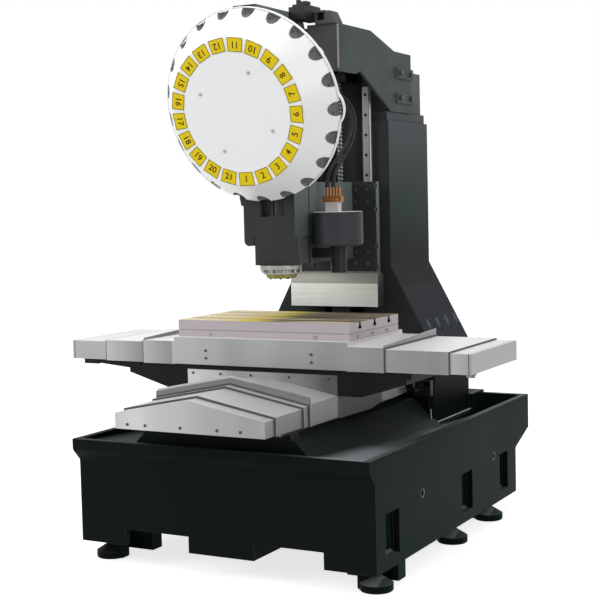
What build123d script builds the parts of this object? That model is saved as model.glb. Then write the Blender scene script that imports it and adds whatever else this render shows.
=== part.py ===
"""Vertical machining centre without its enclosure: base, column, cross table, head and tool turret.

Millimetres. X runs to the right, Y to the back, Z up. The origin is on the floor, under the
middle of the machine's outline, and X is zero in the plane of the spindle.
"""
from build123d import *
import math
import os

# Overall places
TOTAL_DEPTH = 1735.0
BASE_WIDTH = 1200.0
FOOT_HEIGHT = 80.0
BASE_HEIGHT = 386.0
COVER_OVERHANG = 145.0
COLUMN_SETBACK = 538.0
THROAT = 527.0
TABLE_OFFSET = 46.0

COVER_FRONT_Y = -TOTAL_DEPTH / 2
RIM_FRONT_Y = COVER_FRONT_Y + COVER_OVERHANG
RIM_REAR_Y = TOTAL_DEPTH / 2
COLUMN_FRONT_Y = RIM_REAR_Y - COLUMN_SETBACK
SPINDLE_Y = COLUMN_FRONT_Y - THROAT
TABLE_Y = SPINDLE_Y + TABLE_OFFSET
CASTING_Z = FOOT_HEIGHT
RIM_Z = CASTING_Z + BASE_HEIGHT

# Clearances
GAP = 0.3
SHEET_GAP = 4.0
SHEET = 2.0

# Base casting
WALL = 25.0
FRONT_BAND = 40.0
FRONT_FLARE = 43.0
FRONT_LIP = 40.0
FLARE_ROUND = 18.0
REAR_BAND = 141.0
REAR_FLARE = 61.0
REAR_LIP = 168.0
TRAY_FRONT_DEPTH = 12.0
TRAY_SLOPE = 0.05
RIDGE_TOP_HALF = 300.0
RIDGE_FOOT_HALF = 385.0
RIDGE_RISE = 44.0
RIDGE_FOOT_DROP = 41.0
RIDGE_FRONT_GAP = 45.0
CENTRE_LEG_HALF = 133.0
NOTCH_OUTER = 404.0
NOTCH_HEIGHT = 59.0
CAVITY_HEIGHT = 270.0
RIB = 24.0
WINDOW_HEIGHT = 153.0
WINDOW_RISE = 37.0
WINDOWS = ((112.0, 114.0), (803.0, 114.0), (1223.0, 98.0))
LIFT_HOLE_R = 13.0
LIFT_HOLE_RISE = 197.0
LIFT_HOLES = (428.0, 1154.0)
LEG_RIB_INNER = 405.0
LEG_RIB_HEIGHT = 60.0
LEG_RIB_DEPTH = 59.0

WALL_FRONT_Y = RIM_FRONT_Y + FRONT_LIP
WALL_REAR_Y = RIM_REAR_Y - REAR_LIP
RIDGE_Z = RIM_Z + RIDGE_RISE
RIDGE_FRONT_Y = RIM_FRONT_Y + RIDGE_FRONT_GAP

# Column and the pedestal under it
PEDESTAL_HALF = 385.0
PEDESTAL_HEIGHT = 600.0
PEDESTAL_LIP = 6.0
CORNER_TOP = 32.0
CORNER_FOOT = 10.0
REAR_BLOCK_HALF = 400.0
REAR_BLOCK_RISE = 11.0
COLUMN_HALF = 212.0
COLUMN_DEPTH = 397.0
COLUMN_WALL = 32.0
FLARE_CORE_HALF = 260.0
COLUMN_FLANGE = 40.0
FLARE_HEIGHT = 322.0
COLUMN_HEIGHT = 906.0
CAP_HALF = 202.0
CAP_HEIGHT = 37.0
NECK_HALF = 190.0
NECK_INSET = 18.0
NECK_HEIGHT = 172.0
CHANNEL_HALF = 92.0
CHANNEL_DEPTH = 70.0
ANCHORS = 4
ANCHOR_PITCH = 97.0
ANCHOR_INSET = 40.0
ANCHOR_BOLT_R = 9.0

PEDESTAL_Z = CASTING_Z + PEDESTAL_HEIGHT
COLUMN_REAR_Y = COLUMN_FRONT_Y + COLUMN_DEPTH
FLARE_Z = PEDESTAL_Z + COLUMN_FLANGE
COLUMN_TOP_Z = PEDESTAL_Z + COLUMN_FLANGE + COLUMN_HEIGHT
CAP_Z = COLUMN_TOP_Z + CAP_HEIGHT
NECK_Z = CAP_Z + NECK_HEIGHT

# Levelling feet
FOOT_INSET = 54.0
FOOT_YS = (148.0, 835.0, 1230.0)
PAD_R = 58.0
PAD_EDGE = 26.0
DOME_TOP_R = 20.0
DOME_HEIGHT = 24.0
STUD_R = 12.0
STUD_DEPTH = 60.0

FOOT_X = BASE_WIDTH / 2 - FOOT_INSET

# Guide rails and ball screws, one size on every axis
RAIL_W = 27.0
RAIL_H = 30.0
CARRIAGE_W = 70.0
CARRIAGE_L = 90.0
CARRIAGE_H = 24.0
SCREW_R = 14.0
NUT_R = 26.0
NUT_LENGTH = 60.0
BEARING_W = 84.0
BEARING_T = 34.0
MOTOR_W = 80.0
COUPLING_W = 68.0
COUPLING_LENGTH = 50.0
X_MOTOR_LENGTH = 140.0
MOTOR_DROP = 44.0
MOTOR_RISE = 36.0

Y_RAIL_X = 220.0
Y_RAIL_START = 30.0
Y_RAIL_STOP = 24.0
Y_SCREW_RISE = 64.0
Z_RAIL_X = 126.0
Z_RAIL_FOOT = 200.0
Z_RAIL_LENGTH = 882.0
X_RAIL_GAP = 262.0
X_RAIL_HALF = 500.0
X_BEARING_DROP = 35.0

# Travels from the stored place
X_TRAVEL = 300.0
Y_FORWARD = 246.0
Y_BACK = 154.0
Z_UP = 330.0

# Saddle
SADDLE_HALF = 308.0
SADDLE_UNDER = 48.0
SADDLE_STEP = 82.0
SADDLE_TOP = 210.0
SADDLE_FRONT = 224.0
SADDLE_LOWER_REAR = 149.0
SADDLE_REAR = 227.0
WING_LEFT = 800.0
WING_RIGHT = 600.0
WING_RISE = 60.0
COVER_SEAT = 70.0
PANEL_HALF = 315.0
PANEL_TOP = 182.0

SADDLE_FRONT_Y = TABLE_Y - SADDLE_FRONT
SADDLE_MID_Y = TABLE_Y + SADDLE_LOWER_REAR
SADDLE_REAR_Y = TABLE_Y + SADDLE_REAR
SADDLE_Z = RIDGE_Z + SADDLE_UNDER
SADDLE_STEP_Z = SADDLE_Z + SADDLE_STEP
SADDLE_TOP_Z = RIDGE_Z + SADDLE_TOP

# Table
TABLE_HALF = 360.0
TABLE_DEPTH = 420.0
TABLE_SLAB = 36.0
TABLE_LOWER = 27.0
TABLE_LINE = 3.0
SLOT_PITCH = 125.0
SLOT_W = 14.0
SLOT_NECK = 14.0
SLOT_T_W = 24.0
SLOT_T_H = 11.0
CARRIAGE_X = 140.0
TABLE_PAD_DROP = 33.0

TABLE_PAD_Z = SADDLE_TOP_Z + RAIL_H + CARRIAGE_H + 6.0
TABLE_UNDER_Z = TABLE_PAD_Z + TABLE_PAD_DROP
TABLE_TOP_Z = TABLE_UNDER_Z + TABLE_LOWER + TABLE_SLAB
TABLE_FRONT_Y = TABLE_Y - TABLE_DEPTH / 2
TABLE_REAR_Y = TABLE_Y + TABLE_DEPTH / 2

# Skirt and the telescopic X covers beside the table
SKIRT_REACH = 242.0
SKIRT_DROP = 101.0
TABLE_SCREW_X = 222.0
SKIRT_SCREW_DROPS = (48.0, 76.0)
COVER_STEP = SHEET + SHEET_GAP
X_COVER_DROP = 16.0
X_COVER_FOOT = 103.0
X_INNER_END = 504.0
X_MID_RIGHT = (340.0, 742.0)
X_MID_LEFT = (341.0, 682.0)
X_OUT_RIGHT = (520.0, 823.0)
X_OUT_LEFT = (510.0, 850.0)
END_LIP = 24.0
WIPER = 10.0

# Gabled covers in front of the saddle and behind it: half width, eave and ridge over the foot
FRONT_COVER_FOOT = 36.0
FRONT_HALF = 297.0
FRONT_EAVE = 55.0
FRONT_APEX = 111.0
FIXED_SHARE = 0.488
SECOND_SHARES = (0.128, 0.498)
THIRD_SHARES = (0.5, 0.291)
FOURTH_SHARE = 0.569
FRONT_FLANGE = 25.0
REAR_HALF = 291.0
REAR_EAVE = 16.0
REAR_APEX = 71.0
REAR_LENGTH = 168.0
REAR_CLEAR = 3.5

# Starts and lengths of the front covers share the way from their front to the saddle
COVER_WAY = SADDLE_FRONT_Y - COVER_FRONT_Y
FRONT_FIXED_LENGTH = COVER_WAY * FIXED_SHARE
FRONT_SECOND = tuple(COVER_WAY * share for share in SECOND_SHARES)
FRONT_THIRD = tuple(COVER_WAY * share for share in THIRD_SHARES)
FRONT_FOURTH = COVER_WAY * FOURTH_SHARE
REAR_FIRST = Y_BACK / 3 + REAR_CLEAR
REAR_SECOND = Y_BACK * 2 / 3 + REAR_CLEAR

# Head
HEAD_HALF = 86.0
HEAD_NOSE_Z = 199.0
HEAD_FRONT = 45.0
HEAD_STEP = 105.0
HEAD_BLOCK_DEPTH = 60.0
HEAD_BOX_DEPTH = 112.0
HEAD_HEIGHT = 310.0
BEAM_HEIGHT = 308.0
BEAM_LIFT = 3.0
RECESS_DEPTH = 30.0
SLIDE_HALF = 190.0
SLIDE_DROP = 50.0
SLIDE_THICK = 30.0
SPINDLE_R = 32.0
SPINDLE_DROP = 8.0
TAPER_R = 15.9
TAPER_DEPTH = 48.0
DRAWBAR_R = 7.0
NOSE_RINGS = ((80.0, 22.0), (66.0, 23.0), (57.0, 15.0))
MOTOR_HALF = 55.0
MOTOR_HEIGHT = 235.0
CAN_R = 94.0
CAN_HEIGHT = 128.0
CAN_RISE = 66.0
CAN_BACK = 117.0
CAN_NECK_R = 31.0
HOSE_R = 7.0

HEAD_Z = TABLE_TOP_Z + HEAD_NOSE_Z
HEAD_TOP_Z = HEAD_Z + HEAD_HEIGHT
HEAD_FRONT_Y = SPINDLE_Y - HEAD_FRONT
RAIL_FACE_Y = COLUMN_FRONT_Y - RAIL_H
SLIDE_BACK_Y = RAIL_FACE_Y - CARRIAGE_H
SLIDE_FRONT_Y = SLIDE_BACK_Y - SLIDE_THICK
SLIDE_Z = HEAD_Z - SLIDE_DROP

# Z way cover
Z_COVER_HALF = 196.0
Z_COVER_LENGTH = 127.0
Z_COVER_STAND = 97.0
Z_COVER_STEPS = 4
Z_SHOULDER = 34.0
Z_COVER_TOP_GAP = 14.0
Z_COVER_BACK = 6.0

# Magazine arm
ARM_HALF = 212.0
ARM_PLATE = 12.0
ARM_FRONT = 90.0
ARM_REACH = 672.0
ARM_HEIGHT = 176.0
ARM_FOOT_Z = 130.0
CHEEK_HALF = 85.0
CHEEK_DEPTH = 90.0
PIVOT_R = 15.0
PIN_FIT = 0.05
PIVOT_BACK = 27.0
PIVOT_DROP = 34.0

ARM_FRONT_Y = SPINDLE_Y + ARM_FRONT
ARM_REAR_Y = ARM_FRONT_Y + ARM_REACH
ARM_TOP_Z = NECK_Z + ARM_FOOT_Z
PIVOT_Y = ARM_FRONT_Y + PIVOT_BACK
PIVOT_Z = ARM_TOP_Z - PIVOT_DROP

# Tool turret
POCKETS = 21
TILT = 14.27
TURRET_FORWARD = 298.8
TURRET_RISE = 242.1
DISC_R = 262.0
RIM_R = 349.0
FLANK_R = 345.0
FLANK_DEPTH = 100.0
TURRET_DEPTH = 120.0
SHELL_WALL = 5.0
SCALLOP_R = 25.5
SCALLOP_CENTRE = 346.0
PLATE_R = 239.5
PLATE_W = 62.0
PLATE_H = 50.0
PLATE_TAPER = 0.9
PLATE_T = 1.2
GUARD_R = 350.5
GUARD_T = 3.0
GUARD_W = 14.0
GUARD_OPEN = 32.0
BULGE_RISE = 16.0
GUARD_SHIFT = 1.0
HUB_PLATE_GAP = 6.0
HUB_R = 70.0
FINGER_R = 300.0
SPIDER_T = 8.0
FINGER_T = 14.0

TURRET_Y = SPINDLE_Y - TURRET_FORWARD
TURRET_Z = HEAD_TOP_Z + TURRET_RISE
TURRET = Plane(
    origin=(0, TURRET_Y, TURRET_Z),
    x_dir=(1, 0, 0),
    z_dir=(0, -math.cos(math.radians(TILT)), -math.sin(math.radians(TILT))),
)


# Shape helpers
def box(x0, x1, y0, y1, z0, z1):
    """Box between two corners."""
    middle = ((x0 + x1) / 2, (y0 + y1) / 2, (z0 + z1) / 2)
    return Pos(*middle) * Box(abs(x1 - x0), abs(y1 - y0), abs(z1 - z0))


def outline(points):
    """Closed face from corner points in its own plane."""
    return make_face(Polyline(*points, close=True))


def along_x(points, x0, x1):
    """Outline of (y, z) points carried from x0 to x1."""
    return extrude(Plane.YZ.offset(x0) * outline(points), amount=x1 - x0)


def along_y(points, y0, y1):
    """Outline of (x, z) points carried from y0 to y1."""
    return extrude(Plane.XZ.offset(-y1) * outline(points), amount=y1 - y0)


def along_z(points, z0, z1):
    """Outline of (x, y) points carried from z0 to z1."""
    return extrude(Plane.XY.offset(z0) * outline(points), amount=z1 - z0)


def rod(radius, start, end):
    """Round bar between two points."""
    path = Vector(*end) - Vector(*start)
    plane = Plane(origin=start, z_dir=path)
    return extrude(plane * Circle(radius), amount=path.length)


def mirrored(shape):
    """The shape and its image across the spindle plane."""
    return [shape, mirror(shape, about=Plane.YZ)]


def mirror_outline(points):
    """Right half of an (x, other) outline, completed with its left half."""
    return points + [(-x, other) for x, other in reversed(points)]


def keep(name, *shapes):
    """Writes the shapes as one node of separate solids."""
    solids = [solid for shape in shapes for solid in shape.solids()]
    export_step(Compound(children=solids), f"parts/{name}.step")


def bolt_head(centre, axis, radius, height):
    """Socket cap head standing on a face at the centre."""
    plane = Plane(origin=centre, z_dir=axis)
    head = extrude(plane * Circle(radius), amount=height)
    socket = extrude(
        plane.offset(height) * RegularPolygon(radius * 0.5, 6), amount=-height * 0.5
    )
    return head - socket


# Base casting with its tray, ridge and pedestal
def tray_floor_z(y):
    """Height of the sloping tray floor at a depth."""
    return RIM_Z - TRAY_FRONT_DEPTH - TRAY_SLOPE * (y - RIM_FRONT_Y)


def base_shell():
    """Outer block: flat side walls, flared front and rear rims."""
    side = [
        (WALL_FRONT_Y, CASTING_Z),
        (WALL_FRONT_Y, RIM_Z - FRONT_BAND - FRONT_FLARE),
        (RIM_FRONT_Y, RIM_Z - FRONT_BAND),
        (RIM_FRONT_Y, RIM_Z),
        (RIM_REAR_Y, RIM_Z),
        (RIM_REAR_Y, RIM_Z - REAR_BAND),
        (WALL_REAR_Y, RIM_Z - REAR_BAND - REAR_FLARE),
        (WALL_REAR_Y, CASTING_Z),
    ]
    block = along_x(side, -BASE_WIDTH / 2, BASE_WIDTH / 2)
    bends = [
        edge
        for edge in block.edges().filter_by(Axis.X)
        if RIM_Z - FRONT_BAND - FRONT_FLARE - 1 < edge.center().Z < RIM_Z - FRONT_BAND + 1
        and edge.center().Y < 0
    ]
    return fillet(bends, FLARE_ROUND)


def ridge():
    """Sloped bed between the rim and the column that carries the Y rails."""
    low = tray_floor_z(COLUMN_FRONT_Y) - WALL / 2
    slope = (RIDGE_FOOT_HALF - RIDGE_TOP_HALF) / (RIDGE_RISE + RIDGE_FOOT_DROP)
    foot = RIDGE_FOOT_HALF + slope * (RIM_Z - RIDGE_FOOT_DROP - low)
    half = [(foot, low), (RIDGE_TOP_HALF, RIDGE_Z)]
    return along_y(mirror_outline(half), RIDGE_FRONT_Y, COLUMN_FRONT_Y + WALL)


def pedestal_outline(corner):
    """Plan of the pedestal with its front corners cut."""
    half = [
        (PEDESTAL_HALF - corner, COLUMN_FRONT_Y),
        (PEDESTAL_HALF, COLUMN_FRONT_Y + corner),
        (PEDESTAL_HALF, COLUMN_REAR_Y),
    ]
    return outline(mirror_outline(half))


def pedestal():
    """Block under the column, its cut corners widening upwards, on a thin lip."""
    foot = tray_floor_z(COLUMN_REAR_Y) - WALL / 2
    block = loft(
        [
            Plane.XY.offset(foot) * pedestal_outline(CORNER_FOOT),
            Plane.XY.offset(PEDESTAL_Z) * pedestal_outline(CORNER_TOP),
        ],
        ruled=True,
    )
    lip_z = tray_floor_z(COLUMN_FRONT_Y)
    reach = PEDESTAL_HALF + PEDESTAL_LIP
    lip = box(-reach, reach, COLUMN_FRONT_Y, COLUMN_REAR_Y, foot, lip_z)
    return block + lip


def tray():
    """Sloping hollow inside the rim."""
    half = BASE_WIDTH / 2 - WALL
    front = RIM_FRONT_Y + WALL
    rear = RIM_REAR_Y - WALL
    side = [
        (front, RIM_Z + WALL),
        (front, tray_floor_z(front)),
        (rear, tray_floor_z(rear)),
        (rear, RIM_Z + WALL),
    ]
    return along_x(side, -half, half)


def underside():
    """Open bays between the ribs under the tray."""
    front = WALL_FRONT_Y + WALL
    rear = WALL_REAR_Y - WALL
    middle = (front + rear) / 2
    outer = BASE_WIDTH / 2 - WALL
    inner = CENTRE_LEG_HALF
    top = CASTING_Z + CAVITY_HEIGHT
    bays = []
    for y0, y1 in ((front, middle - RIB / 2), (middle + RIB / 2, rear)):
        bays.append(box(-outer, -inner, y0, y1, 0, top))
        bays.append(box(RIB - inner, inner - RIB, y0, y1, 0, top))
        bays.append(box(inner, outer, y0, y1, 0, top))
    return bays


def castings_core():
    """Hollows inside the ridge and the pedestal, open to the bays below."""
    low = CASTING_Z + CAVITY_HEIGHT - 1
    wall = COLUMN_WALL
    ridge_half = RIDGE_TOP_HALF - 2 * wall
    front = RIDGE_FRONT_Y + wall + WALL
    core = [box(-ridge_half, ridge_half, front, COLUMN_FRONT_Y - wall, low, RIDGE_Z - wall)]
    half = PEDESTAL_HALF - 2 * wall
    rear = min(COLUMN_REAR_Y, WALL_REAR_Y) - 2 * wall
    core.append(box(-half, half, COLUMN_FRONT_Y + wall, rear, low, PEDESTAL_Z - wall))
    return core


def side_cuts():
    """Windows and lifting holes through both side walls."""
    reach = BASE_WIDTH / 2 + WALL
    cuts = []
    for start, width in WINDOWS:
        y0 = RIM_FRONT_Y + start
        z0 = CASTING_Z + WINDOW_RISE
        inner = BASE_WIDTH / 2 - 2 * WALL
        cuts += mirrored(box(inner, reach, y0, y0 + width, z0, z0 + WINDOW_HEIGHT))
    for start in LIFT_HOLES:
        y = RIM_FRONT_Y + start
        z = CASTING_Z + LIFT_HOLE_RISE
        inner = BASE_WIDTH / 2 - 2 * WALL
        cuts += mirrored(rod(LIFT_HOLE_R, (inner, y, z), (reach, y, z)))
    return cuts


def foot_places():
    """Middle of each levelling foot."""
    return [(x, RIM_FRONT_Y + y) for x in (-FOOT_X, FOOT_X) for y in FOOT_YS]


def base_casting():
    """One casting: walls, tray, ridge, pedestal, foot bosses and leg ribs."""
    body = base_shell() - tray()
    body += ridge()
    rear_top = RIM_Z + REAR_BLOCK_RISE
    rear_foot = tray_floor_z(RIM_REAR_Y) - WALL / 2
    body += box(
        -REAR_BLOCK_HALF, REAR_BLOCK_HALF, COLUMN_REAR_Y, RIM_REAR_Y, rear_foot, rear_top
    )
    body += pedestal()
    for bay in underside() + castings_core():
        body -= bay
    boss = PAD_R - STUD_R
    top = CASTING_Z + CAVITY_HEIGHT + WALL / 2
    for x, y in foot_places():
        wall_x = math.copysign(BASE_WIDTH / 2 - WALL / 2, x)
        body += box(x - math.copysign(boss, x), wall_x, y - boss, y + boss, CASTING_Z, top)
    front = WALL_FRONT_Y - 1
    for notch in mirrored(
        box(CENTRE_LEG_HALF, NOTCH_OUTER, front, front + WALL + 2, 0, CASTING_Z + NOTCH_HEIGHT)
    ):
        body -= notch
    for cut in side_cuts():
        body -= cut
    rib_y = RIM_FRONT_Y + FOOT_YS[0] + PAD_R + SHEET_GAP
    for rib in mirrored(
        box(
            LEG_RIB_INNER,
            BASE_WIDTH / 2,
            rib_y,
            rib_y + LEG_RIB_DEPTH,
            CASTING_Z - LEG_RIB_HEIGHT,
            CASTING_Z + WALL,
        )
    ):
        body += rib
    for x, y in foot_places():
        body -= rod(STUD_R + GAP, (x, y, 0), (x, y, CASTING_Z + STUD_DEPTH + GAP))
    return body


def levelling_feet():
    """Round pads with a domed top, and the studs that stand on them."""
    pads, studs = [], []
    side = [
        (0, 0),
        (PAD_R - 4, 0),
        (PAD_R, 4),
        (PAD_R, PAD_EDGE),
        (DOME_TOP_R + 14, PAD_EDGE + DOME_HEIGHT * 0.62),
        (DOME_TOP_R, PAD_EDGE + DOME_HEIGHT),
        (0, PAD_EDGE + DOME_HEIGHT),
    ]
    pad = revolve(Plane.XZ * outline(side), Axis.Z)
    top = PAD_EDGE + DOME_HEIGHT
    for x, y in foot_places():
        pads.append(Pos(x, y, 0) * pad)
        stud = rod(STUD_R, (x, y, top), (x, y, CASTING_Z + STUD_DEPTH))
        lock = extrude(
            Plane.XY.offset(CASTING_Z - WALL / 2) * Pos(x, y) * RegularPolygon(STUD_R * 1.7, 6),
            amount=WALL / 2,
        )
        studs.append(stud + lock)
    return pads, studs


# Column
def column():
    """Box column on splayed feet, with a cap and a neck for the magazine arm."""
    lower = [
        (PEDESTAL_HALF, PEDESTAL_Z),
        (PEDESTAL_HALF, FLARE_Z),
        (COLUMN_HALF, FLARE_Z + FLARE_HEIGHT),
        (COLUMN_HALF, COLUMN_TOP_Z),
    ]
    body = along_y(mirror_outline(lower), COLUMN_FRONT_Y, COLUMN_REAR_Y)
    body += box(
        -CAP_HALF,
        CAP_HALF,
        COLUMN_FRONT_Y + NECK_INSET / 2,
        COLUMN_REAR_Y - NECK_INSET / 2,
        COLUMN_TOP_Z,
        CAP_Z,
    )
    body += box(
        -NECK_HALF,
        NECK_HALF,
        COLUMN_FRONT_Y + NECK_INSET,
        COLUMN_REAR_Y - NECK_INSET,
        CAP_Z,
        NECK_Z,
    )
    channel_y = COLUMN_FRONT_Y + CHANNEL_DEPTH
    body -= box(
        -CHANNEL_HALF, CHANNEL_HALF, COLUMN_FRONT_Y - 1, channel_y, FLARE_Z + WALL, NECK_Z + 1
    )
    core = [
        (FLARE_CORE_HALF, PEDESTAL_Z),
        (COLUMN_HALF - COLUMN_WALL, FLARE_Z + FLARE_HEIGHT),
        (COLUMN_HALF - COLUMN_WALL, COLUMN_TOP_Z),
    ]
    body -= along_y(mirror_outline(core), channel_y + COLUMN_WALL, COLUMN_REAR_Y - COLUMN_WALL)
    for x, y in anchor_places():
        body -= rod(ANCHOR_BOLT_R + 6, (x, y, FLARE_Z + 28), (x, y, FLARE_Z + FLARE_HEIGHT))
    return body


def anchor_places():
    """Bolts that hold the splayed feet down, on both sides."""
    x = PEDESTAL_HALF - ANCHOR_INSET
    first = COLUMN_FRONT_Y + 79
    ys = [first + ANCHOR_PITCH * i for i in range(ANCHORS)]
    return [(side * x, y) for side in (-1, 1) for y in ys]


def anchor_bolts():
    """Cap screws at the bottom of the slots in the splayed feet."""
    seat = FLARE_Z + 28
    return [bolt_head((x, y, seat), (0, 0, 1), ANCHOR_BOLT_R, 18) for x, y in anchor_places()]


# Rails, carriages and screws
def rail_profile(width, height):
    """Cross-section of a guide rail with its side grooves, foot at zero."""
    half = width / 2
    return mirror_outline(
        [
            (half, 0),
            (half, height * 0.4),
            (half * 0.74, height * 0.52),
            (half * 0.74, height * 0.68),
            (half, height * 0.8),
            (half, height),
        ]
    )


def rail(plane, length):
    """Guide rail along a plane's normal, its foot on the plane's X axis."""
    return extrude(plane * outline(rail_profile(RAIL_W, RAIL_H)), amount=length)


def carriage(plane, length):
    """Block that straddles a rail, open where the rail runs."""
    head = RAIL_H + CARRIAGE_H
    block = outline(
        mirror_outline([(CARRIAGE_W / 2, RAIL_H * 0.3), (CARRIAGE_W / 2, head), (1, head)])
    )
    reach = RAIL_W / 2 + GAP
    opening = outline(mirror_outline([(reach, 0), (reach, RAIL_H + GAP)]))
    return extrude(plane * (block - opening), amount=length)


def y_rail_plane(x, y):
    """Foot of a Y rail on the ridge."""
    return Plane(origin=(x, y, RIDGE_Z), x_dir=(-1, 0, 0), z_dir=(0, 1, 0))


def x_rail_plane(x, y):
    """Foot of an X rail on the saddle."""
    return Plane(origin=(x, y, SADDLE_TOP_Z), x_dir=(0, 1, 0), z_dir=(1, 0, 0))


def z_rail_plane(x, z):
    """Foot of a Z rail on the column's front."""
    return Plane(origin=(x, COLUMN_FRONT_Y, z), x_dir=(-1, 0, 0), z_dir=(0, 0, 1))


def y_rails():
    """Pair of rails on the ridge."""
    start = RIDGE_FRONT_Y + Y_RAIL_START
    length = COLUMN_FRONT_Y - Y_RAIL_STOP - start
    return [rail(y_rail_plane(x, start), length) for x in (-Y_RAIL_X, Y_RAIL_X)]


def y_carriages():
    """Four blocks under the saddle."""
    ys = y_carriage_ys()
    return [carriage(y_rail_plane(x, y), CARRIAGE_L) for x in (-Y_RAIL_X, Y_RAIL_X) for y in ys]


def y_carriage_ys():
    """Where the carriages under the saddle start."""
    return (SADDLE_FRONT_Y + 50, SADDLE_MID_Y - 20 - CARRIAGE_L)


def x_rail_ys():
    """Depths of the two X rails."""
    return (TABLE_Y - X_RAIL_GAP / 2, TABLE_Y + X_RAIL_GAP / 2)


def x_rails():
    """Pair of rails along the saddle."""
    return [rail(x_rail_plane(-X_RAIL_HALF, y), 2 * X_RAIL_HALF) for y in x_rail_ys()]


def x_carriages():
    """Four blocks under the table."""
    xs = (-CARRIAGE_X - CARRIAGE_L / 2, CARRIAGE_X - CARRIAGE_L / 2)
    return [carriage(x_rail_plane(x, y), CARRIAGE_L) for y in x_rail_ys() for x in xs]


def z_rails():
    """Pair of rails up the column's front."""
    foot = FLARE_Z + Z_RAIL_FOOT - COLUMN_FLANGE
    return [rail(z_rail_plane(x, foot), Z_RAIL_LENGTH) for x in (-Z_RAIL_X, Z_RAIL_X)]


def z_carriages():
    """Four blocks behind the head's slide plate."""
    zs = (SLIDE_Z + 14, HEAD_Z + BEAM_HEIGHT - 14 - CARRIAGE_L)
    return [carriage(z_rail_plane(x, z), CARRIAGE_L) for x in (-Z_RAIL_X, Z_RAIL_X) for z in zs]


def screw(start, end, journal):
    """Ball screw with a thinner journal at each end."""
    a, b = Vector(*start), Vector(*end)
    step = (b - a).normalized() * journal
    ends = [
        rod(SCREW_R * 0.7, tuple(a), tuple(a + step)),
        rod(SCREW_R * 0.7, tuple(b - step), tuple(b)),
    ]
    return rod(SCREW_R, tuple(a + step), tuple(b - step)) + ends[0] + ends[1]


def nut(centre, axis):
    """Round nut with a flange, free of the screw by the gap."""
    plane = Plane(origin=centre, z_dir=axis).offset(-NUT_LENGTH / 2)
    body = extrude(plane * Circle(NUT_R), amount=NUT_LENGTH)
    body += extrude(plane * Circle(NUT_R + 8), amount=12)
    return body - extrude(plane * Circle(SCREW_R + GAP), amount=NUT_LENGTH)


def bearing_block(centre, axis, drop):
    """Screw support: a block bored for the journal, standing on its seat."""
    along = Vector(*axis)
    x, y, z = centre
    if abs(along.X) > 0:
        block = box(x - BEARING_T / 2, x + BEARING_T / 2, y - BEARING_W / 2, y + BEARING_W / 2,
                    z - drop, z + SCREW_R + 8)
    elif abs(along.Y) > 0:
        block = box(x - BEARING_W / 2, x + BEARING_W / 2, y - BEARING_T / 2, y + BEARING_T / 2,
                    z - drop, z + SCREW_R + 8)
    else:
        block = box(x - BEARING_W / 2, x + BEARING_W / 2, y - NUT_R, y + drop,
                    z - BEARING_T / 2, z + BEARING_T / 2)
    bore = extrude(
        Plane(origin=centre, z_dir=axis).offset(-BEARING_T) * Circle(SCREW_R * 0.7 + GAP),
        amount=2 * BEARING_T,
    )
    return block - bore


Y_SCREW_Z = RIDGE_Z + Y_SCREW_RISE
Y_SCREW_START = RIDGE_FRONT_Y - 10
Y_SCREW_END = COLUMN_FRONT_Y - Y_RAIL_STOP
X_SCREW_Z = SADDLE_TOP_Z + 15
X_SCREW_HALF = X_RAIL_HALF + 60
Z_SCREW_Y = COLUMN_FRONT_Y - 8
Z_SCREW_FOOT = FLARE_Z + Z_RAIL_FOOT - COLUMN_FLANGE - 40
Z_SCREW_TOP = NECK_Z + 6
SCREW_JOURNAL = 60.0


def y_screw():
    return screw((0, Y_SCREW_START, Y_SCREW_Z), (0, Y_SCREW_END, Y_SCREW_Z), SCREW_JOURNAL)


def y_bearings():
    """Supports at both ends of the Y screw, on the ridge."""
    ys = (Y_SCREW_START + SCREW_JOURNAL / 2 + 8, Y_SCREW_END - SCREW_JOURNAL / 2)
    return [bearing_block((0, y, Y_SCREW_Z), (0, 1, 0), Y_SCREW_RISE) for y in ys]


def y_motor():
    """Servo motor inside the front cover, with its coupling housing on the first support."""
    front = COVER_FRONT_Y + 12
    back = Y_SCREW_START + SCREW_JOURNAL / 2 + 8 - BEARING_T / 2
    z = Y_SCREW_Z
    body = box(-42, 42, front, back - 70, z - 28, z + 32)
    housing = box(-34, 34, back - 70, back, z - 28, z + SCREW_R + 8)
    housing -= rod(SCREW_R + 6, (0, back - 66, z), (0, back + 1, z))
    return body + housing


def x_screw():
    return screw((-X_SCREW_HALF, TABLE_Y, X_SCREW_Z), (X_SCREW_HALF, TABLE_Y, X_SCREW_Z),
                 SCREW_JOURNAL)


def x_bearings():
    """Supports at both ends of the X screw, in the saddle's wings."""
    x = X_SCREW_HALF - SCREW_JOURNAL / 2
    return [
        bearing_block((side * x, TABLE_Y, X_SCREW_Z), (1, 0, 0), X_BEARING_DROP)
        for side in (-1, 1)
    ]


def x_motor():
    """Servo motor on the left wing, under the outer cover."""
    inner = X_SCREW_HALF - SCREW_JOURNAL / 2 + BEARING_T / 2
    z = X_SCREW_Z
    outer = inner + COUPLING_LENGTH
    half = MOTOR_W / 2
    body = box(-outer - X_MOTOR_LENGTH, -outer, TABLE_Y - half, TABLE_Y + half,
               z - MOTOR_DROP, z + MOTOR_RISE)
    half = COUPLING_W / 2
    housing = box(-outer, -inner, TABLE_Y - half, TABLE_Y + half, z - half - 1, z + SCREW_R + 8)
    housing -= rod(SCREW_R + 4, (4 - outer, TABLE_Y, z), (-inner + 1, TABLE_Y, z))
    return body + housing


def z_screw():
    return screw((0, Z_SCREW_Y, Z_SCREW_FOOT), (0, Z_SCREW_Y, Z_SCREW_TOP), SCREW_JOURNAL)


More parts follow.
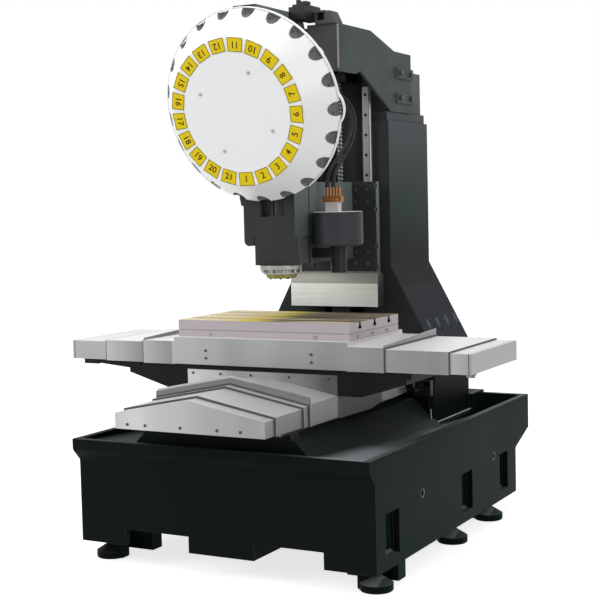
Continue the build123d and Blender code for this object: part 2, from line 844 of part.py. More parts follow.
def z_bearings():
    """Supports at both ends of the Z screw, in the column's channel."""
    drop = COLUMN_FRONT_Y + CHANNEL_DEPTH - Z_SCREW_Y
    zs = (Z_SCREW_FOOT + SCREW_JOURNAL / 2, NECK_Z - SCREW_JOURNAL / 2)
    return [bearing_block((0, Z_SCREW_Y, z), (0, 0, 1), drop) for z in zs]


def z_motor():
    """Servo motor on the neck, over the screw."""
    y0 = Z_SCREW_Y - 48
    y1 = Z_SCREW_Y + 48
    foot = NECK_Z
    plate = box(-NECK_HALF * 0.6, NECK_HALF * 0.6, y0, COLUMN_FRONT_Y + NECK_INSET + 60,
                foot, foot + 14)
    plate += box(-NECK_HALF * 0.6, NECK_HALF * 0.6, COLUMN_FRONT_Y + NECK_INSET,
                 COLUMN_FRONT_Y + CHANNEL_DEPTH + 40, foot, foot + 14)
    body = box(-48, 48, y0, y1, foot + 14, foot + 110)
    return plate + body - rod(SCREW_R, (0, Z_SCREW_Y, foot - 1), (0, Z_SCREW_Y, foot + 12))


# Saddle
def saddle():
    """Cross saddle: lower body over the Y rails, rail bed above, wings to the sides."""
    body = box(-SADDLE_HALF, SADDLE_HALF, SADDLE_FRONT_Y, SADDLE_MID_Y, SADDLE_Z, SADDLE_STEP_Z)
    body += box(
        -SADDLE_HALF, SADDLE_HALF, SADDLE_FRONT_Y, SADDLE_REAR_Y, SADDLE_STEP_Z, SADDLE_TOP_Z
    )
    body += along_y(wing_outline(WING_LEFT, -1), SADDLE_FRONT_Y, SADDLE_REAR_Y)
    body += along_y(wing_outline(WING_RIGHT, 1), SADDLE_FRONT_Y, SADDLE_REAR_Y)
    reach = x_section(2)[0] - SHEET
    for side, start in ((1, WING_RIGHT - COVER_SEAT), (-1, WING_RIGHT - COVER_SEAT),
                        (-1, WING_LEFT - COVER_SEAT)):
        for face in (-reach, reach):
            inner = math.copysign(reach - 20, face)
            body += box(side * start, side * (start + COVER_SEAT - 4), TABLE_Y + inner,
                        TABLE_Y + face, SADDLE_TOP_Z - 24, SADDLE_TOP_Z + 40)
    half = NUT_R + 8 + 8
    body -= box(-half, half, SADDLE_FRONT_Y - 1, SADDLE_MID_Y + 1, SADDLE_Z - 1,
                Y_SCREW_Z + half)
    body -= box(-WING_LEFT - 1, WING_RIGHT + 1, TABLE_Y - BEARING_W / 2 - 6,
                TABLE_Y + BEARING_W / 2 + 6, X_SCREW_Z - 50, SADDLE_TOP_Z + 1)
    for x in (-Y_RAIL_X, Y_RAIL_X):
        for y in y_carriage_ys():
            half = CARRIAGE_W / 2 + GAP
            body -= box(x - half, x + half, y - GAP, y + CARRIAGE_L + GAP,
                        SADDLE_Z - 1, RIDGE_Z + RAIL_H + CARRIAGE_H)
    return body


def wing_outline(reach, side):
    """Underside of a wing: sloping up from the body, with a step, to its end."""
    rise = [
        (100.0, WING_RISE),
        (274.0, 112.0),
        (274.0, 128.0),
    ]
    points = [(SADDLE_HALF - 1, SADDLE_TOP_Z), (SADDLE_HALF - 1, SADDLE_Z + WING_RISE)]
    for out, up in rise:
        if SADDLE_HALF + out < reach:
            points.append((SADDLE_HALF + out, SADDLE_Z + up))
    tip = SADDLE_TOP_Z - 14 if reach > SADDLE_HALF + 400 else SADDLE_Z + 129
    points += [(reach, tip), (reach, SADDLE_TOP_Z)]
    return [(side * x, z) for x, z in points]


def saddle_panels():
    """Sheet panels on the saddle's front and lower sides."""
    top = RIDGE_Z + PANEL_TOP
    front = box(-PANEL_HALF, PANEL_HALF, SADDLE_FRONT_Y - SHEET, SADDLE_FRONT_Y,
                SADDLE_Z - 8, top)
    front -= box(-50, 50, SADDLE_FRONT_Y - 5, SADDLE_FRONT_Y + 1, SADDLE_Z - 9, Y_SCREW_Z + 50)
    high = SADDLE_Z + WING_RISE
    side = [
        (SADDLE_FRONT_Y, high),
        (SADDLE_FRONT_Y, RIDGE_Z + 28),
        (SADDLE_MID_Y - 100, RIDGE_Z + 22),
        (SADDLE_MID_Y, RIDGE_Z + 38),
        (SADDLE_MID_Y, high),
    ]
    right = along_x(side, PANEL_HALF - SHEET, PANEL_HALF)
    right += box(SADDLE_HALF, PANEL_HALF, SADDLE_FRONT_Y, SADDLE_MID_Y, high - SHEET, high)
    return [front] + mirrored(right)


def y_nut():
    """Nut of the Y screw and the bracket that hangs it under the saddle."""
    y = (SADDLE_FRONT_Y + SADDLE_MID_Y) / 2
    half = NUT_R + 8 + 8
    bracket = box(-NUT_R, NUT_R, y - 20, y + 20, Y_SCREW_Z, Y_SCREW_Z + half)
    bore = extrude(Plane.XZ.offset(-y - 100) * Pos(0, Y_SCREW_Z) * Circle(NUT_R + 1), amount=200)
    return nut((0, y, Y_SCREW_Z), (0, 1, 0)) + (bracket - bore) + (bracket & bore) - rod(
        SCREW_R + GAP, (0, y - 50, Y_SCREW_Z), (0, y + 50, Y_SCREW_Z)
    )


def x_nut():
    """Nut of the X screw and its bracket under the table."""
    bracket = box(-20, 20, TABLE_Y - NUT_R, TABLE_Y + NUT_R, X_SCREW_Z, TABLE_UNDER_Z)
    whole = nut((0, TABLE_Y, X_SCREW_Z), (1, 0, 0)) + bracket
    return whole - rod(SCREW_R + GAP, (-50, TABLE_Y, X_SCREW_Z), (50, TABLE_Y, X_SCREW_Z))


def z_nut():
    """Nut of the Z screw and its bracket behind the slide plate."""
    z = SLIDE_Z + 180
    bracket = box(-NUT_R, NUT_R, SLIDE_BACK_Y, Z_SCREW_Y, z - 20, z + 20)
    whole = nut((0, Z_SCREW_Y, z), (0, 0, 1)) + bracket
    return whole - rod(SCREW_R + GAP, (0, Z_SCREW_Y, z - 50), (0, Z_SCREW_Y, z + 50))


# Table
def slot_ys():
    """Depths of the three T-slots."""
    return [TABLE_Y + SLOT_PITCH * i for i in (-1, 0, 1)]


def table():
    """Slotted table on a slightly stepped lower body, with pads over the carriages."""
    slab_z = TABLE_TOP_Z - TABLE_SLAB
    body = box(-TABLE_HALF, TABLE_HALF, TABLE_FRONT_Y, TABLE_REAR_Y, slab_z, TABLE_TOP_Z)
    inset = TABLE_LINE
    body += box(-TABLE_HALF + inset, TABLE_HALF - inset, TABLE_FRONT_Y + inset,
                TABLE_REAR_Y - inset, slab_z - inset, slab_z)
    body += box(-TABLE_HALF, TABLE_HALF, TABLE_FRONT_Y, TABLE_REAR_Y,
                TABLE_UNDER_Z, slab_z - inset)
    for y in slot_ys():
        reach = TABLE_HALF + 1
        neck_z = TABLE_TOP_Z - SLOT_NECK
        body -= box(-reach, reach, y - SLOT_W / 2, y + SLOT_W / 2, neck_z - 1, TABLE_TOP_Z + 1)
        body -= box(-reach, reach, y - SLOT_T_W / 2, y + SLOT_T_W / 2,
                    neck_z - SLOT_T_H, neck_z)
    for y in x_rail_ys():
        for x in (-CARRIAGE_X, CARRIAGE_X):
            body += box(x - CARRIAGE_L / 2, x + CARRIAGE_L / 2, y - CARRIAGE_W / 2,
                        y + CARRIAGE_W / 2, SADDLE_TOP_Z + RAIL_H + CARRIAGE_H, TABLE_UNDER_Z)
    return body


def skirts():
    """Sheet skirts in front of and behind the table, flanged under it."""
    reach = TABLE_Y - SKIRT_REACH
    low = TABLE_UNDER_Z - SKIRT_DROP
    half = TABLE_HALF + 1
    front = box(-half, half, reach, reach + SHEET, low, TABLE_UNDER_Z)
    front += box(-half, half, reach, TABLE_FRONT_Y + 14, TABLE_UNDER_Z - SHEET, TABLE_UNDER_Z)
    rear = mirror(front, about=Plane.XZ.offset(-TABLE_Y))
    return [front, rear]


# Telescopic covers
def x_channel(side, start, end, reach, low, top):
    """Solid bar of a cover's outer section, both halves of the depth."""
    return box(side * start, side * end, TABLE_Y - reach, TABLE_Y + reach, low, top)


def x_section(nest):
    """Half depth, foot and roof of a cover, one step smaller for each nest."""
    reach = SKIRT_REACH - nest * COVER_STEP
    top = TABLE_UNDER_Z - X_COVER_DROP - nest * COVER_STEP
    return reach, TABLE_UNDER_Z - X_COVER_FOOT + nest * 2, top


def x_cover(side, start, end, nest, close=False):
    """Channel over the X rails, open below, with a wiper over the next one or a closed end."""
    reach, low, top = x_section(nest)
    stop = end - SHEET if close else end + 1
    cover = x_channel(side, start, end, reach, low, top)
    cover -= x_channel(side, start - 1, stop, reach - SHEET, low - 1, top - SHEET)
    if close:
        return cover
    slide_reach, slide_low, slide_top = x_section(nest + 1)
    wiper = x_channel(side, end - WIPER, end, reach - SHEET, slide_low, top - SHEET)
    wiper -= x_channel(side, end - WIPER - 1, end + 1, slide_reach + GAP, slide_low - 1,
                       slide_top + GAP)
    return cover + wiper


def x_inner(side):
    """Cover fixed to the table's end, with an upright lip at its outer edge."""
    cover = x_cover(side, TABLE_HALF + 1, X_INNER_END, 0)
    top = TABLE_UNDER_Z - X_COVER_DROP
    front = TABLE_Y - SKIRT_REACH
    back = TABLE_Y + SKIRT_REACH
    lip = [(front + 4, top - SHEET), (front + 4, top + END_LIP / 3), (back - 4, top + END_LIP),
           (back - 4, top - SHEET)]
    ends = sorted((side * (X_INNER_END - SHEET), side * X_INNER_END))
    return cover + along_x(lip, *ends)


def gable(half, foot, eave, apex, y0, y1):
    """Gabled sheet channel open below."""
    outer = mirror_outline([(half, foot), (half, eave), (0.01, apex)])
    inner = mirror_outline(
        [(half - SHEET, foot - 1), (half - SHEET, eave - SHEET), (0.01, apex - SHEET)]
    )
    return along_y(outer, y0, y1) - along_y(inner, y0 - 1, y1 + 1)


def gable_wiper(outer_sizes, inner_sizes, y0):
    """Wiper inside one end of a gabled cover, just over the smaller cover."""
    half, _, eave, apex = outer_sizes
    slide_half, foot, slide_eave, slide_apex = inner_sizes
    outer = mirror_outline([(half - SHEET, foot), (half - SHEET, eave - SHEET),
                            (0.01, apex - SHEET)])
    inner = mirror_outline([(slide_half + GAP, foot - 1), (slide_half + GAP, slide_eave + GAP),
                            (0.01, slide_apex + GAP)])
    return along_y(outer, y0, y0 + WIPER) - along_y(inner, y0 - 1, y0 + WIPER + 1)


def front_sizes(nest):
    """Half width, foot, eave and ridge of a front cover, growing towards the saddle."""
    grow = nest * COVER_STEP
    foot = RIDGE_Z + FRONT_COVER_FOOT - nest
    base = RIDGE_Z + FRONT_COVER_FOOT
    return FRONT_HALF + grow, foot, base + FRONT_EAVE + grow, base + FRONT_APEX + 1.3 * grow


def front_fixed():
    """Smallest front cover, closed by a face, fixed over the motor."""
    half, foot, eave, apex = front_sizes(0)
    y0 = COVER_FRONT_Y
    body = along_y(mirror_outline([(half, foot), (half, eave), (0.01, apex)]), y0, y0 + SHEET)
    body += gable(half, foot, eave, apex, y0, y0 + FRONT_FIXED_LENGTH)
    seat = half - SHEET
    for bracket in mirrored(box(seat - 10, seat, RIDGE_FRONT_Y + 2, y0 + FRONT_FIXED_LENGTH - 6,
                                RIDGE_Z, RIDGE_Z + FRONT_EAVE)):
        body += bracket
    return body


def front_second():
    start = COVER_FRONT_Y + FRONT_SECOND[0]
    cover = gable(*front_sizes(1), start, start + FRONT_SECOND[1])
    return cover + gable_wiper(front_sizes(1), front_sizes(0), start)


def front_third():
    start = COVER_FRONT_Y + FRONT_THIRD[0]
    cover = gable(*front_sizes(2), start, start + FRONT_THIRD[1])
    return cover + gable_wiper(front_sizes(2), front_sizes(1), start)


def front_fourth():
    """Largest front cover on the saddle, with an upright gable flange at its front."""
    half, foot, eave, apex = front_sizes(3)
    start = COVER_FRONT_Y + FRONT_FOURTH
    body = gable(half, foot, eave, apex, start, SADDLE_FRONT_Y - SHEET)
    body += gable_wiper(front_sizes(3), front_sizes(2), start)
    flange = [(half, eave - 1), (half, eave + FRONT_FLANGE), (0, apex + FRONT_FLANGE),
              (-half, eave + FRONT_FLANGE), (-half, eave - 1), (0, apex - 1)]
    return body + along_y(flange, start + 4, start + 4 + SHEET)


def rear_sizes(nest):
    """Half width, foot, eave and ridge of a rear cover, growing towards the saddle."""
    grow = nest * COVER_STEP
    foot = RIDGE_Z + FRONT_COVER_FOOT - 3
    return REAR_HALF + grow, foot, foot + REAR_EAVE + grow, foot + REAR_APEX + 1.1 * grow


def rear_cover(nest, start, length):
    """Gabled cover between the saddle and the column, with a wiper at its rear."""
    cover = gable(*rear_sizes(nest), start, start + length)
    if nest == 0:
        return cover
    return cover + gable_wiper(rear_sizes(nest), rear_sizes(nest - 1), start + length - WIPER)


def z_section(nest):
    """Half width, front, top and foot of a Z cover, one step smaller for each nest."""
    top = SLIDE_Z - Z_COVER_TOP_GAP
    half = Z_COVER_HALF - nest * COVER_STEP
    front = COLUMN_FRONT_Y - Z_COVER_STAND + nest * COVER_STEP
    return half, front, top - 2 * nest, top - Z_COVER_LENGTH


def z_wiper(nest):
    """Wiper inside a Z cover's lower edge, just over the next cover."""
    half, front, _, low = z_section(nest)
    slide_half, slide_front, _, _ = z_section(nest + 1)
    back = RAIL_FACE_Y - Z_COVER_BACK
    wiper = box(-half + SHEET, half - SHEET, front + SHEET, back, low, low + WIPER)
    return wiper - box(-slide_half - GAP, slide_half + GAP, slide_front - GAP, back + 1,
                       low - 1, low + WIPER + 1)


def z_cover(nest):
    """Upright channel in front of the Z rails; the last one has brackets to the column."""
    half, front, top, low = z_section(nest)
    back = RAIL_FACE_Y - Z_COVER_BACK
    outer = box(-half, half, front, back, low, top)
    body = outer - box(-half + SHEET, half - SHEET, front + SHEET, back + 1, low - 1, top + 1)
    if nest < Z_COVER_STEPS - 1:
        return body + z_wiper(nest)
    for bracket in mirrored(box(half - SHEET - 12, half - SHEET, back - 10, COLUMN_FRONT_Y,
                                low, low + 40)):
        body += bracket
    return body


def z_cover_top():
    """Outermost Z cover, with a leaning shoulder and a strip under the slide plate."""
    half, front, top, low = z_section(0)
    back = RAIL_FACE_Y - Z_COVER_BACK
    lean = 3.0
    section = [(front, low), (front, top - Z_SHOULDER), (front + lean, top)]
    sheet = section + [(y + SHEET, z) for y, z in reversed(section)]
    body = along_x(sheet, -half, half)
    for side in (-1, 1):
        ends = sorted((side * (half - SHEET), side * half))
        body += along_x(section + [(back, top), (back, low)], *ends)
    strip = box(-half, half, front + lean, SLIDE_BACK_Y, top, top + 8)
    hanger = box(-SLIDE_HALF, SLIDE_HALF, SLIDE_FRONT_Y + 6, SLIDE_BACK_Y, top + 8, SLIDE_Z)
    return body + strip + hanger + z_wiper(0)


# Head
def head_casting():
    """Spindle block, box beam and slide plate in one casting."""
    step_z = HEAD_Z + HEAD_STEP
    beam_top = HEAD_Z + BEAM_HEIGHT
    box_back = HEAD_FRONT_Y + HEAD_BOX_DEPTH
    body = box(-HEAD_HALF, HEAD_HALF, HEAD_FRONT_Y, box_back, step_z, HEAD_TOP_Z)
    body += box(-HEAD_HALF, HEAD_HALF, HEAD_FRONT_Y, HEAD_FRONT_Y + HEAD_BLOCK_DEPTH,
                HEAD_Z, step_z)
    body += rod(HEAD_HALF - 8, (0, SPINDLE_Y, HEAD_Z), (0, SPINDLE_Y, step_z))
    side = [
        (HEAD_FRONT_Y + HEAD_BLOCK_DEPTH, HEAD_Z + BEAM_LIFT),
        (SLIDE_FRONT_Y, HEAD_Z + BEAM_LIFT),
        (SLIDE_FRONT_Y, beam_top),
        (box_back - 1, beam_top),
        (box_back - 1, step_z),
        (HEAD_FRONT_Y + HEAD_BLOCK_DEPTH, step_z),
    ]
    body += along_x(side, -HEAD_HALF + 6, HEAD_HALF - 6)
    body += box(-HEAD_HALF, HEAD_HALF, box_back + 6, SLIDE_FRONT_Y, HEAD_Z + BEAM_LIFT, beam_top)
    body += box(-SLIDE_HALF, SLIDE_HALF, SLIDE_FRONT_Y, SLIDE_BACK_Y, SLIDE_Z, beam_top)
    body -= tool_recess()
    for z in (0.05, 0.28, 0.69, 0.95):
        notch_z = SLIDE_Z + z * (beam_top - SLIDE_Z)
        for cut in mirrored(box(SLIDE_HALF - 6, SLIDE_HALF + 1, SLIDE_FRONT_Y - 1,
                                SLIDE_FRONT_Y + 10, notch_z - 7, notch_z + 7)):
            body -= cut
    bore = rod(SPINDLE_R + 4, (0, SPINDLE_Y, HEAD_Z - 1), (0, SPINDLE_Y, HEAD_TOP_Z + 1))
    return body - bore


def tool_recess():
    """Pockets in the upper front where the turret's grippers reach the spindle."""
    front = HEAD_FRONT_Y - 1
    floor = HEAD_FRONT_Y + RECESS_DEPTH
    deep = box(-69, -20, front, floor, HEAD_Z + 181, HEAD_Z + 258)
    shallow = box(-20, 39, front, HEAD_FRONT_Y + RECESS_DEPTH / 3, HEAD_Z + 186, HEAD_Z + 238)
    slit = box(31, 39, front, floor, HEAD_Z + 181, HEAD_Z + 238)
    return deep + shallow + slit


def cam_plate():
    """Cam beside the spindle block that the turret's roller follows, hooked at its foot."""
    low = HEAD_Z + 72
    inner = -HEAD_HALF
    outer = -134.0
    width = (inner - 5) - outer
    hook_r = width / 2
    body = box(outer, inner, HEAD_FRONT_Y + 4, HEAD_FRONT_Y + 44, low + 2 * hook_r, HEAD_TOP_Z - 34)
    body += box(outer, inner - 5, HEAD_FRONT_Y + 4, HEAD_FRONT_Y + 44, low + hook_r,
                low + 2 * hook_r)
    middle = (outer + inner - 5) / 2
    body += rod(hook_r, (middle, HEAD_FRONT_Y + 4, low + hook_r),
                (middle, HEAD_FRONT_Y + 44, low + hook_r))
    crown = [(outer, HEAD_Z + 222), (outer - 10, HEAD_Z + 226), (outer - 20, HEAD_TOP_Z - 34),
             (outer, HEAD_TOP_Z - 34)]
    return body + along_y(crown, HEAD_FRONT_Y + 4, HEAD_FRONT_Y + 44)


def slide_bolts():
    """Bolts through the slide plate into the carriages."""
    bolts = []
    top = HEAD_Z + BEAM_HEIGHT
    rows = (SLIDE_Z + 32, SLIDE_Z + 80, top - 80, top - 32)
    for x in (-Z_RAIL_X - 26, -Z_RAIL_X + 26, Z_RAIL_X - 26, Z_RAIL_X + 26):
        for z in rows:
            bolts.append(bolt_head((x, SLIDE_FRONT_Y, z), (0, -1, 0), 7, 8))
    return bolts


def spindle_nose():
    """Fixed rings around the spindle under the head."""
    z = HEAD_Z
    body = None
    for radius, height in NOSE_RINGS:
        ring = rod(radius, (0, SPINDLE_Y, z - height), (0, SPINDLE_Y, z))
        body = ring if body is None else body + ring
        z -= height
    body = chamfer(body.edges().filter_by(GeomType.CIRCLE).group_by(Axis.Z)[0], 4)
    return body - rod(SPINDLE_R + GAP, (0, SPINDLE_Y, z - 1), (0, SPINDLE_Y, HEAD_Z + 1))


def nose_z():
    """Height of the lowest fixed ring's face."""
    return HEAD_Z - sum(height for _, height in NOSE_RINGS)


def spindle():
    """Turning spindle with its taper, drawbar bore and two drive keys."""
    low = nose_z() - SPINDLE_DROP
    top = HEAD_TOP_Z - 30
    body = rod(SPINDLE_R, (0, SPINDLE_Y, low), (0, SPINDLE_Y, top))
    cone = Pos(0, SPINDLE_Y, low + TAPER_DEPTH / 2) * Cone(TAPER_R, TAPER_R * 0.56, TAPER_DEPTH)
    body -= cone
    body -= rod(DRAWBAR_R, (0, SPINDLE_Y, low), (0, SPINDLE_Y, top + 1))
    for side in (-1, 1):
        x = side * (TAPER_R + 8)
        body += box(x - 6, x + 6, SPINDLE_Y - 7, SPINDLE_Y + 7, low - 7, low)
    return body


def spindle_motor():
    """Direct-drive motor on top of the head: flange, finned body, cap and socket."""
    foot = HEAD_TOP_Z
    half = MOTOR_HALF
    body = box(-half, half, SPINDLE_Y - half, SPINDLE_Y + half, foot, foot + 18)
    body += rod(half * 0.92, (0, SPINDLE_Y, foot + 18), (0, SPINDLE_Y, foot + 36))
    core = Rectangle(2 * half, 2 * half) - [
        Pos(x * half, y * half) * Rectangle(24, 24) for x in (-1, 1) for y in (-1, 1)
    ]
    body += extrude(Plane(origin=(0, SPINDLE_Y, foot + 36)) * core, amount=MOTOR_HEIGHT - 62)
    cap_z = foot + MOTOR_HEIGHT - 26
    body += rod(half * 0.86, (0, SPINDLE_Y, cap_z), (0, SPINDLE_Y, foot + MOTOR_HEIGHT))
    plug_z = HEAD_Z + CAN_RISE + CAN_HEIGHT + BLOCK_H + HOSE_DROP
    body += box(-12, 36, SPINDLE_Y + half, SPINDLE_Y + CAN_BACK - HOSE_END, plug_z - 14, plug_z + 14)
    return body - rod(SPINDLE_R, (0, SPINDLE_Y, foot - 1), (0, SPINDLE_Y, foot + 12))


def can_centre():
    """Axis of the round housing beside the head."""
    return HEAD_HALF + CAN_R + 3, SPINDLE_Y + CAN_BACK


def side_can():
    """Round housing on the head's right side, on a bracket."""
    x, y = can_centre()
    low = HEAD_Z + CAN_RISE
    body = rod(CAN_R, (x, y, low), (x, y, low + CAN_HEIGHT))
    body = chamfer(body.edges().filter_by(GeomType.CIRCLE).group_by(Axis.Z)[0], 8)
    body = fillet(body.edges().filter_by(GeomType.CIRCLE).group_by(Axis.Z)[-1], 4)
    neck = rod(CAN_NECK_R, (x, y, low - 100), (x, y, low))
    bracket = box(HEAD_HALF, x, y - 30, y + 30, low - 44, low - 8)
    return body + neck + bracket


FITTINGS = 5
FITTING_PITCH = 13.0
BLOCK_W = 52.0
BLOCK_H = 36.0
OUTLET_TOP = 56.0
HOSE_DROP = 206.0
HOSE_END = 21.8


def valve_block():
    """Pale distributor block standing on the round housing."""
    x, y = can_centre()
    z = HEAD_Z + CAN_RISE + CAN_HEIGHT
    return box(x - 44, x - 44 + BLOCK_W, y - 16, y + 16, z, z + BLOCK_H)


def brass_fittings():
    """Manifold bar and its row of outlets over the distributor block."""
    x, y = can_centre()
    z = HEAD_Z + CAN_RISE + CAN_HEIGHT + BLOCK_H
    bar = box(x - 58, x + 20, y - 11, y + 11, z, z + 22)
    outlets = []
    for i in range(FITTINGS):
        centre = x - 42 + FITTING_PITCH * i
        outlets.append(rod(5, (centre, y - 11, z + 11), (centre, y - 28, z + 11)))
        outlets.append(rod(5, (centre, y, z + 22), (centre, y, z + OUTLET_TOP)))
    return [bar] + outlets


HOSES = (
    ((-42, 0, 57.6), (-43, 3, 88), (-34, 18, 128), (-16, 46, 168), (0, 84, 214), (5, 118, 262),
     (1, 140, 312), (-18, 151, 358), (-50, 152, 396), (-90, 142, 420), (-124, 118, 424),
     (-146, 86, 398), (-153, 66, 350), (-155, 58, 296), (-157, 44, 244), (-161, 12, 212),
     (-163, -20, 206)),
    ((-16, 0, 57.6), (-17, 4, 92), (-10, 26, 130), (-2, 58, 166), (4, 98, 204), (8, 134, 252),
     (5, 158, 306), (-12, 170, 358), (-46, 174, 402), (-92, 164, 434), (-134, 138, 442),
     (-164, 102, 416), (-175, 78, 364), (-178, 68, 306), (-179, 50, 250), (-180, 14, 214),
     (-181, -20, 206)),
)


def hose_path(points):
    """Route of one hose over the fittings, straight runs joined by tangent arcs."""
    x, y = can_centre()
    z = HEAD_Z + CAN_RISE + CAN_HEIGHT + BLOCK_H
    route = [Vector(x + a, y + b, z + c) for a, b, c in points]
    radii = []
    for before, at, after in zip(route, route[1:], route[2:]):
        turn = math.radians((at - before).get_angle(after - at))
        run = min((at - before).length, (after - at).length)
        radii.append(0.45 * run / math.tan(turn / 2))
    return FilletPolyline(*route, radius=radii), radii


def hoses():
    """Two black hoses that loop up from the fittings to the spindle motor's side."""
    shapes = []
    for points in HOSES:
        path, radii = hose_path(points)
        tube = sweep(Plane(origin=path @ 0, z_dir=path % 0) * Circle(HOSE_R), path=path)
        share = tube.volume / (math.pi * HOSE_R ** 2 * path.length)
        print("hose radii", [round(r) for r in radii], "volume share", round(share, 4))
        shapes.append(tube)
    return shapes


# Magazine arm
def arm_side():
    """Outline of an arm side plate, as (y, z)."""
    return [
        (ARM_FRONT_Y, ARM_TOP_Z),
        (ARM_FRONT_Y + 286, ARM_TOP_Z),
        (ARM_FRONT_Y + 506, ARM_TOP_Z - 60),
        (ARM_REAR_Y, ARM_TOP_Z - 62),
        (ARM_REAR_Y, CAP_Z + GAP),
        (ARM_FRONT_Y + 466, CAP_Z + GAP),
        (ARM_FRONT_Y + 190, ARM_TOP_Z - ARM_HEIGHT + 14),
        (ARM_FRONT_Y + 150, ARM_TOP_Z - ARM_HEIGHT),
        (ARM_FRONT_Y, ARM_TOP_Z - ARM_HEIGHT),
    ]


def arm_bolt_places():
    """Rows of bolts that hold an arm plate to the neck."""
    ys = (ARM_REAR_Y - 134, ARM_REAR_Y - 8)
    zs = (CAP_Z + 58, NECK_Z - 14)
    return [(y, z) for y in (ys[0], ys[1] - 22) for z in zs]


def magazine_arm():
    """Welded fork: side plates on the neck, front plates, and cheeks for the pivot."""
    inner = ARM_HALF - ARM_PLATE
    low = ARM_TOP_Z - ARM_HEIGHT
    halves = []
    right = along_x(arm_side(), inner, ARM_HALF)
    right += box(CHEEK_HALF, ARM_HALF, ARM_FRONT_Y, ARM_FRONT_Y + ARM_PLATE, low, ARM_TOP_Z)
    right += box(CHEEK_HALF, CHEEK_HALF + ARM_PLATE, ARM_FRONT_Y, ARM_FRONT_Y + CHEEK_DEPTH,
                 low, ARM_TOP_Z)
    right += box(NECK_HALF, inner, ARM_REAR_Y - 160, ARM_REAR_Y, CAP_Z + 20, CAP_Z + 84)
    right += box(NECK_HALF, inner, ARM_REAR_Y - 160, ARM_REAR_Y, NECK_Z - 48, NECK_Z - 2)
    right += box(ARM_HALF, ARM_HALF + 10, ARM_REAR_Y - 158, ARM_REAR_Y, NECK_Z - 36, NECK_Z + 6)
    right += box(ARM_HALF, ARM_HALF + 10, ARM_REAR_Y - 158, ARM_REAR_Y, CAP_Z + 36, CAP_Z + 78)
    right -= rod(PIVOT_R + PIN_FIT, (CHEEK_HALF - 1, PIVOT_Y, PIVOT_Z),
                 (CHEEK_HALF + ARM_PLATE + 1, PIVOT_Y, PIVOT_Z))
    halves += mirrored(right)
    cross = box(-inner, inner, ARM_FRONT_Y + 300, ARM_FRONT_Y + 300 + ARM_PLATE,
                ARM_TOP_Z - 40, ARM_TOP_Z)
    return halves[0] + halves[1] + cross


def arm_bolts():
    """Hexagon bolts through the arm's feet, and the jack screws behind them."""
    bolts = []
    for side in (-1, 1):
        for y, z in arm_bolt_places():
            plane = Plane(origin=(side * (ARM_HALF + 10), y, z), z_dir=(side, 0, 0))
            washer = extrude(plane * Circle(13), amount=3)
            bolts.append(washer + extrude(plane.offset(3) * RegularPolygon(11, 6), amount=9))
    return bolts


def arm_bracket():
    """Switch box with a sloped end on the arm's right front plate."""
    foot = ARM_TOP_Z
    outline_xz = [(122, foot), (206, foot), (184, foot + 47), (168, foot + 47),
                  (164, foot + 50), (122, foot + 50)]
    body = along_y(outline_xz, ARM_FRONT_Y - 6, ARM_FRONT_Y + 60)
    return body - box(128, 160, ARM_FRONT_Y - 7, ARM_FRONT_Y + 30, foot + 14, foot + 42)


# Turret carried by the swing arm
def turret_point(x, up, out):
    """Machine place of a point given in the turret's own directions."""
    return TURRET.from_local_coords(Vector(x, up, out))


def swing_arm():
    """Arm from the pivot over the spindle motor and down behind the turret to its hub."""
    back = []
    for up, out in ((-HUB_R, -TURRET_DEPTH - HUB_PLATE_GAP), (300, -TURRET_DEPTH - HUB_PLATE_GAP)):
        point = turret_point(0, up, out)
        back.append((point.Y, point.Z))
    low_back = turret_point(0, -HUB_R, -TURRET_DEPTH - 58)
    mid_back = turret_point(0, 210, -TURRET_DEPTH - 58)
    top = ARM_TOP_Z + 46
    bridge = ARM_TOP_Z + 14
    side = [
        back[0],
        back[1],
        (back[1][0] + 26, top),
        (PIVOT_Y + 6, top),
        (PIVOT_Y + 30, PIVOT_Z + 26),
        (PIVOT_Y + 22, PIVOT_Z - 24),
        (PIVOT_Y - 22, PIVOT_Z - 24),
        (PIVOT_Y - 30, bridge),
        (mid_back.Y + 34, bridge),
        (mid_back.Y, mid_back.Z),
        (low_back.Y, low_back.Z),
    ]
    body = along_x(side, -46, 46)
    plane = TURRET.offset(-TURRET_DEPTH - 50)
    body += extrude(plane * Circle(HUB_R + 20), amount=50 - HUB_PLATE_GAP)
    shaft_hole = extrude(TURRET.offset(-TURRET_DEPTH - 100) * Circle(24 + GAP), amount=120)
    tube = rod(26, (-CHEEK_HALF + 2, PIVOT_Y, PIVOT_Z), (CHEEK_HALF - 2, PIVOT_Y, PIVOT_Z))
    body += tube
    hole = rod(PIVOT_R + PIN_FIT, (-CHEEK_HALF, PIVOT_Y, PIVOT_Z), (CHEEK_HALF, PIVOT_Y, PIVOT_Z))
    return body - shaft_hole - hole


def pivot_pin():
    """Pin through the arm's cheeks on which the turret swings."""
    reach = CHEEK_HALF + ARM_PLATE + 8
    return rod(PIVOT_R, (-reach, PIVOT_Y, PIVOT_Z), (reach, PIVOT_Y, PIVOT_Z))


def turret_motor():
    """Drive motor on the swing arm's right, with its two plugs."""
    foot = ARM_TOP_Z + 18
    y0 = ARM_FRONT_Y - 70
    body = box(46, 62, y0, y0 + 96, foot, foot + 44)
    body += box(62, 112, y0, y0 + 130, foot - 2, foot + 52)
    body += rod(9, (78, y0 + 20, foot + 52), (78, y0 + 20, foot + 70))
    body += box(84, 118, y0 + 4, y0 + 40, foot + 52, foot + 62)
    return body


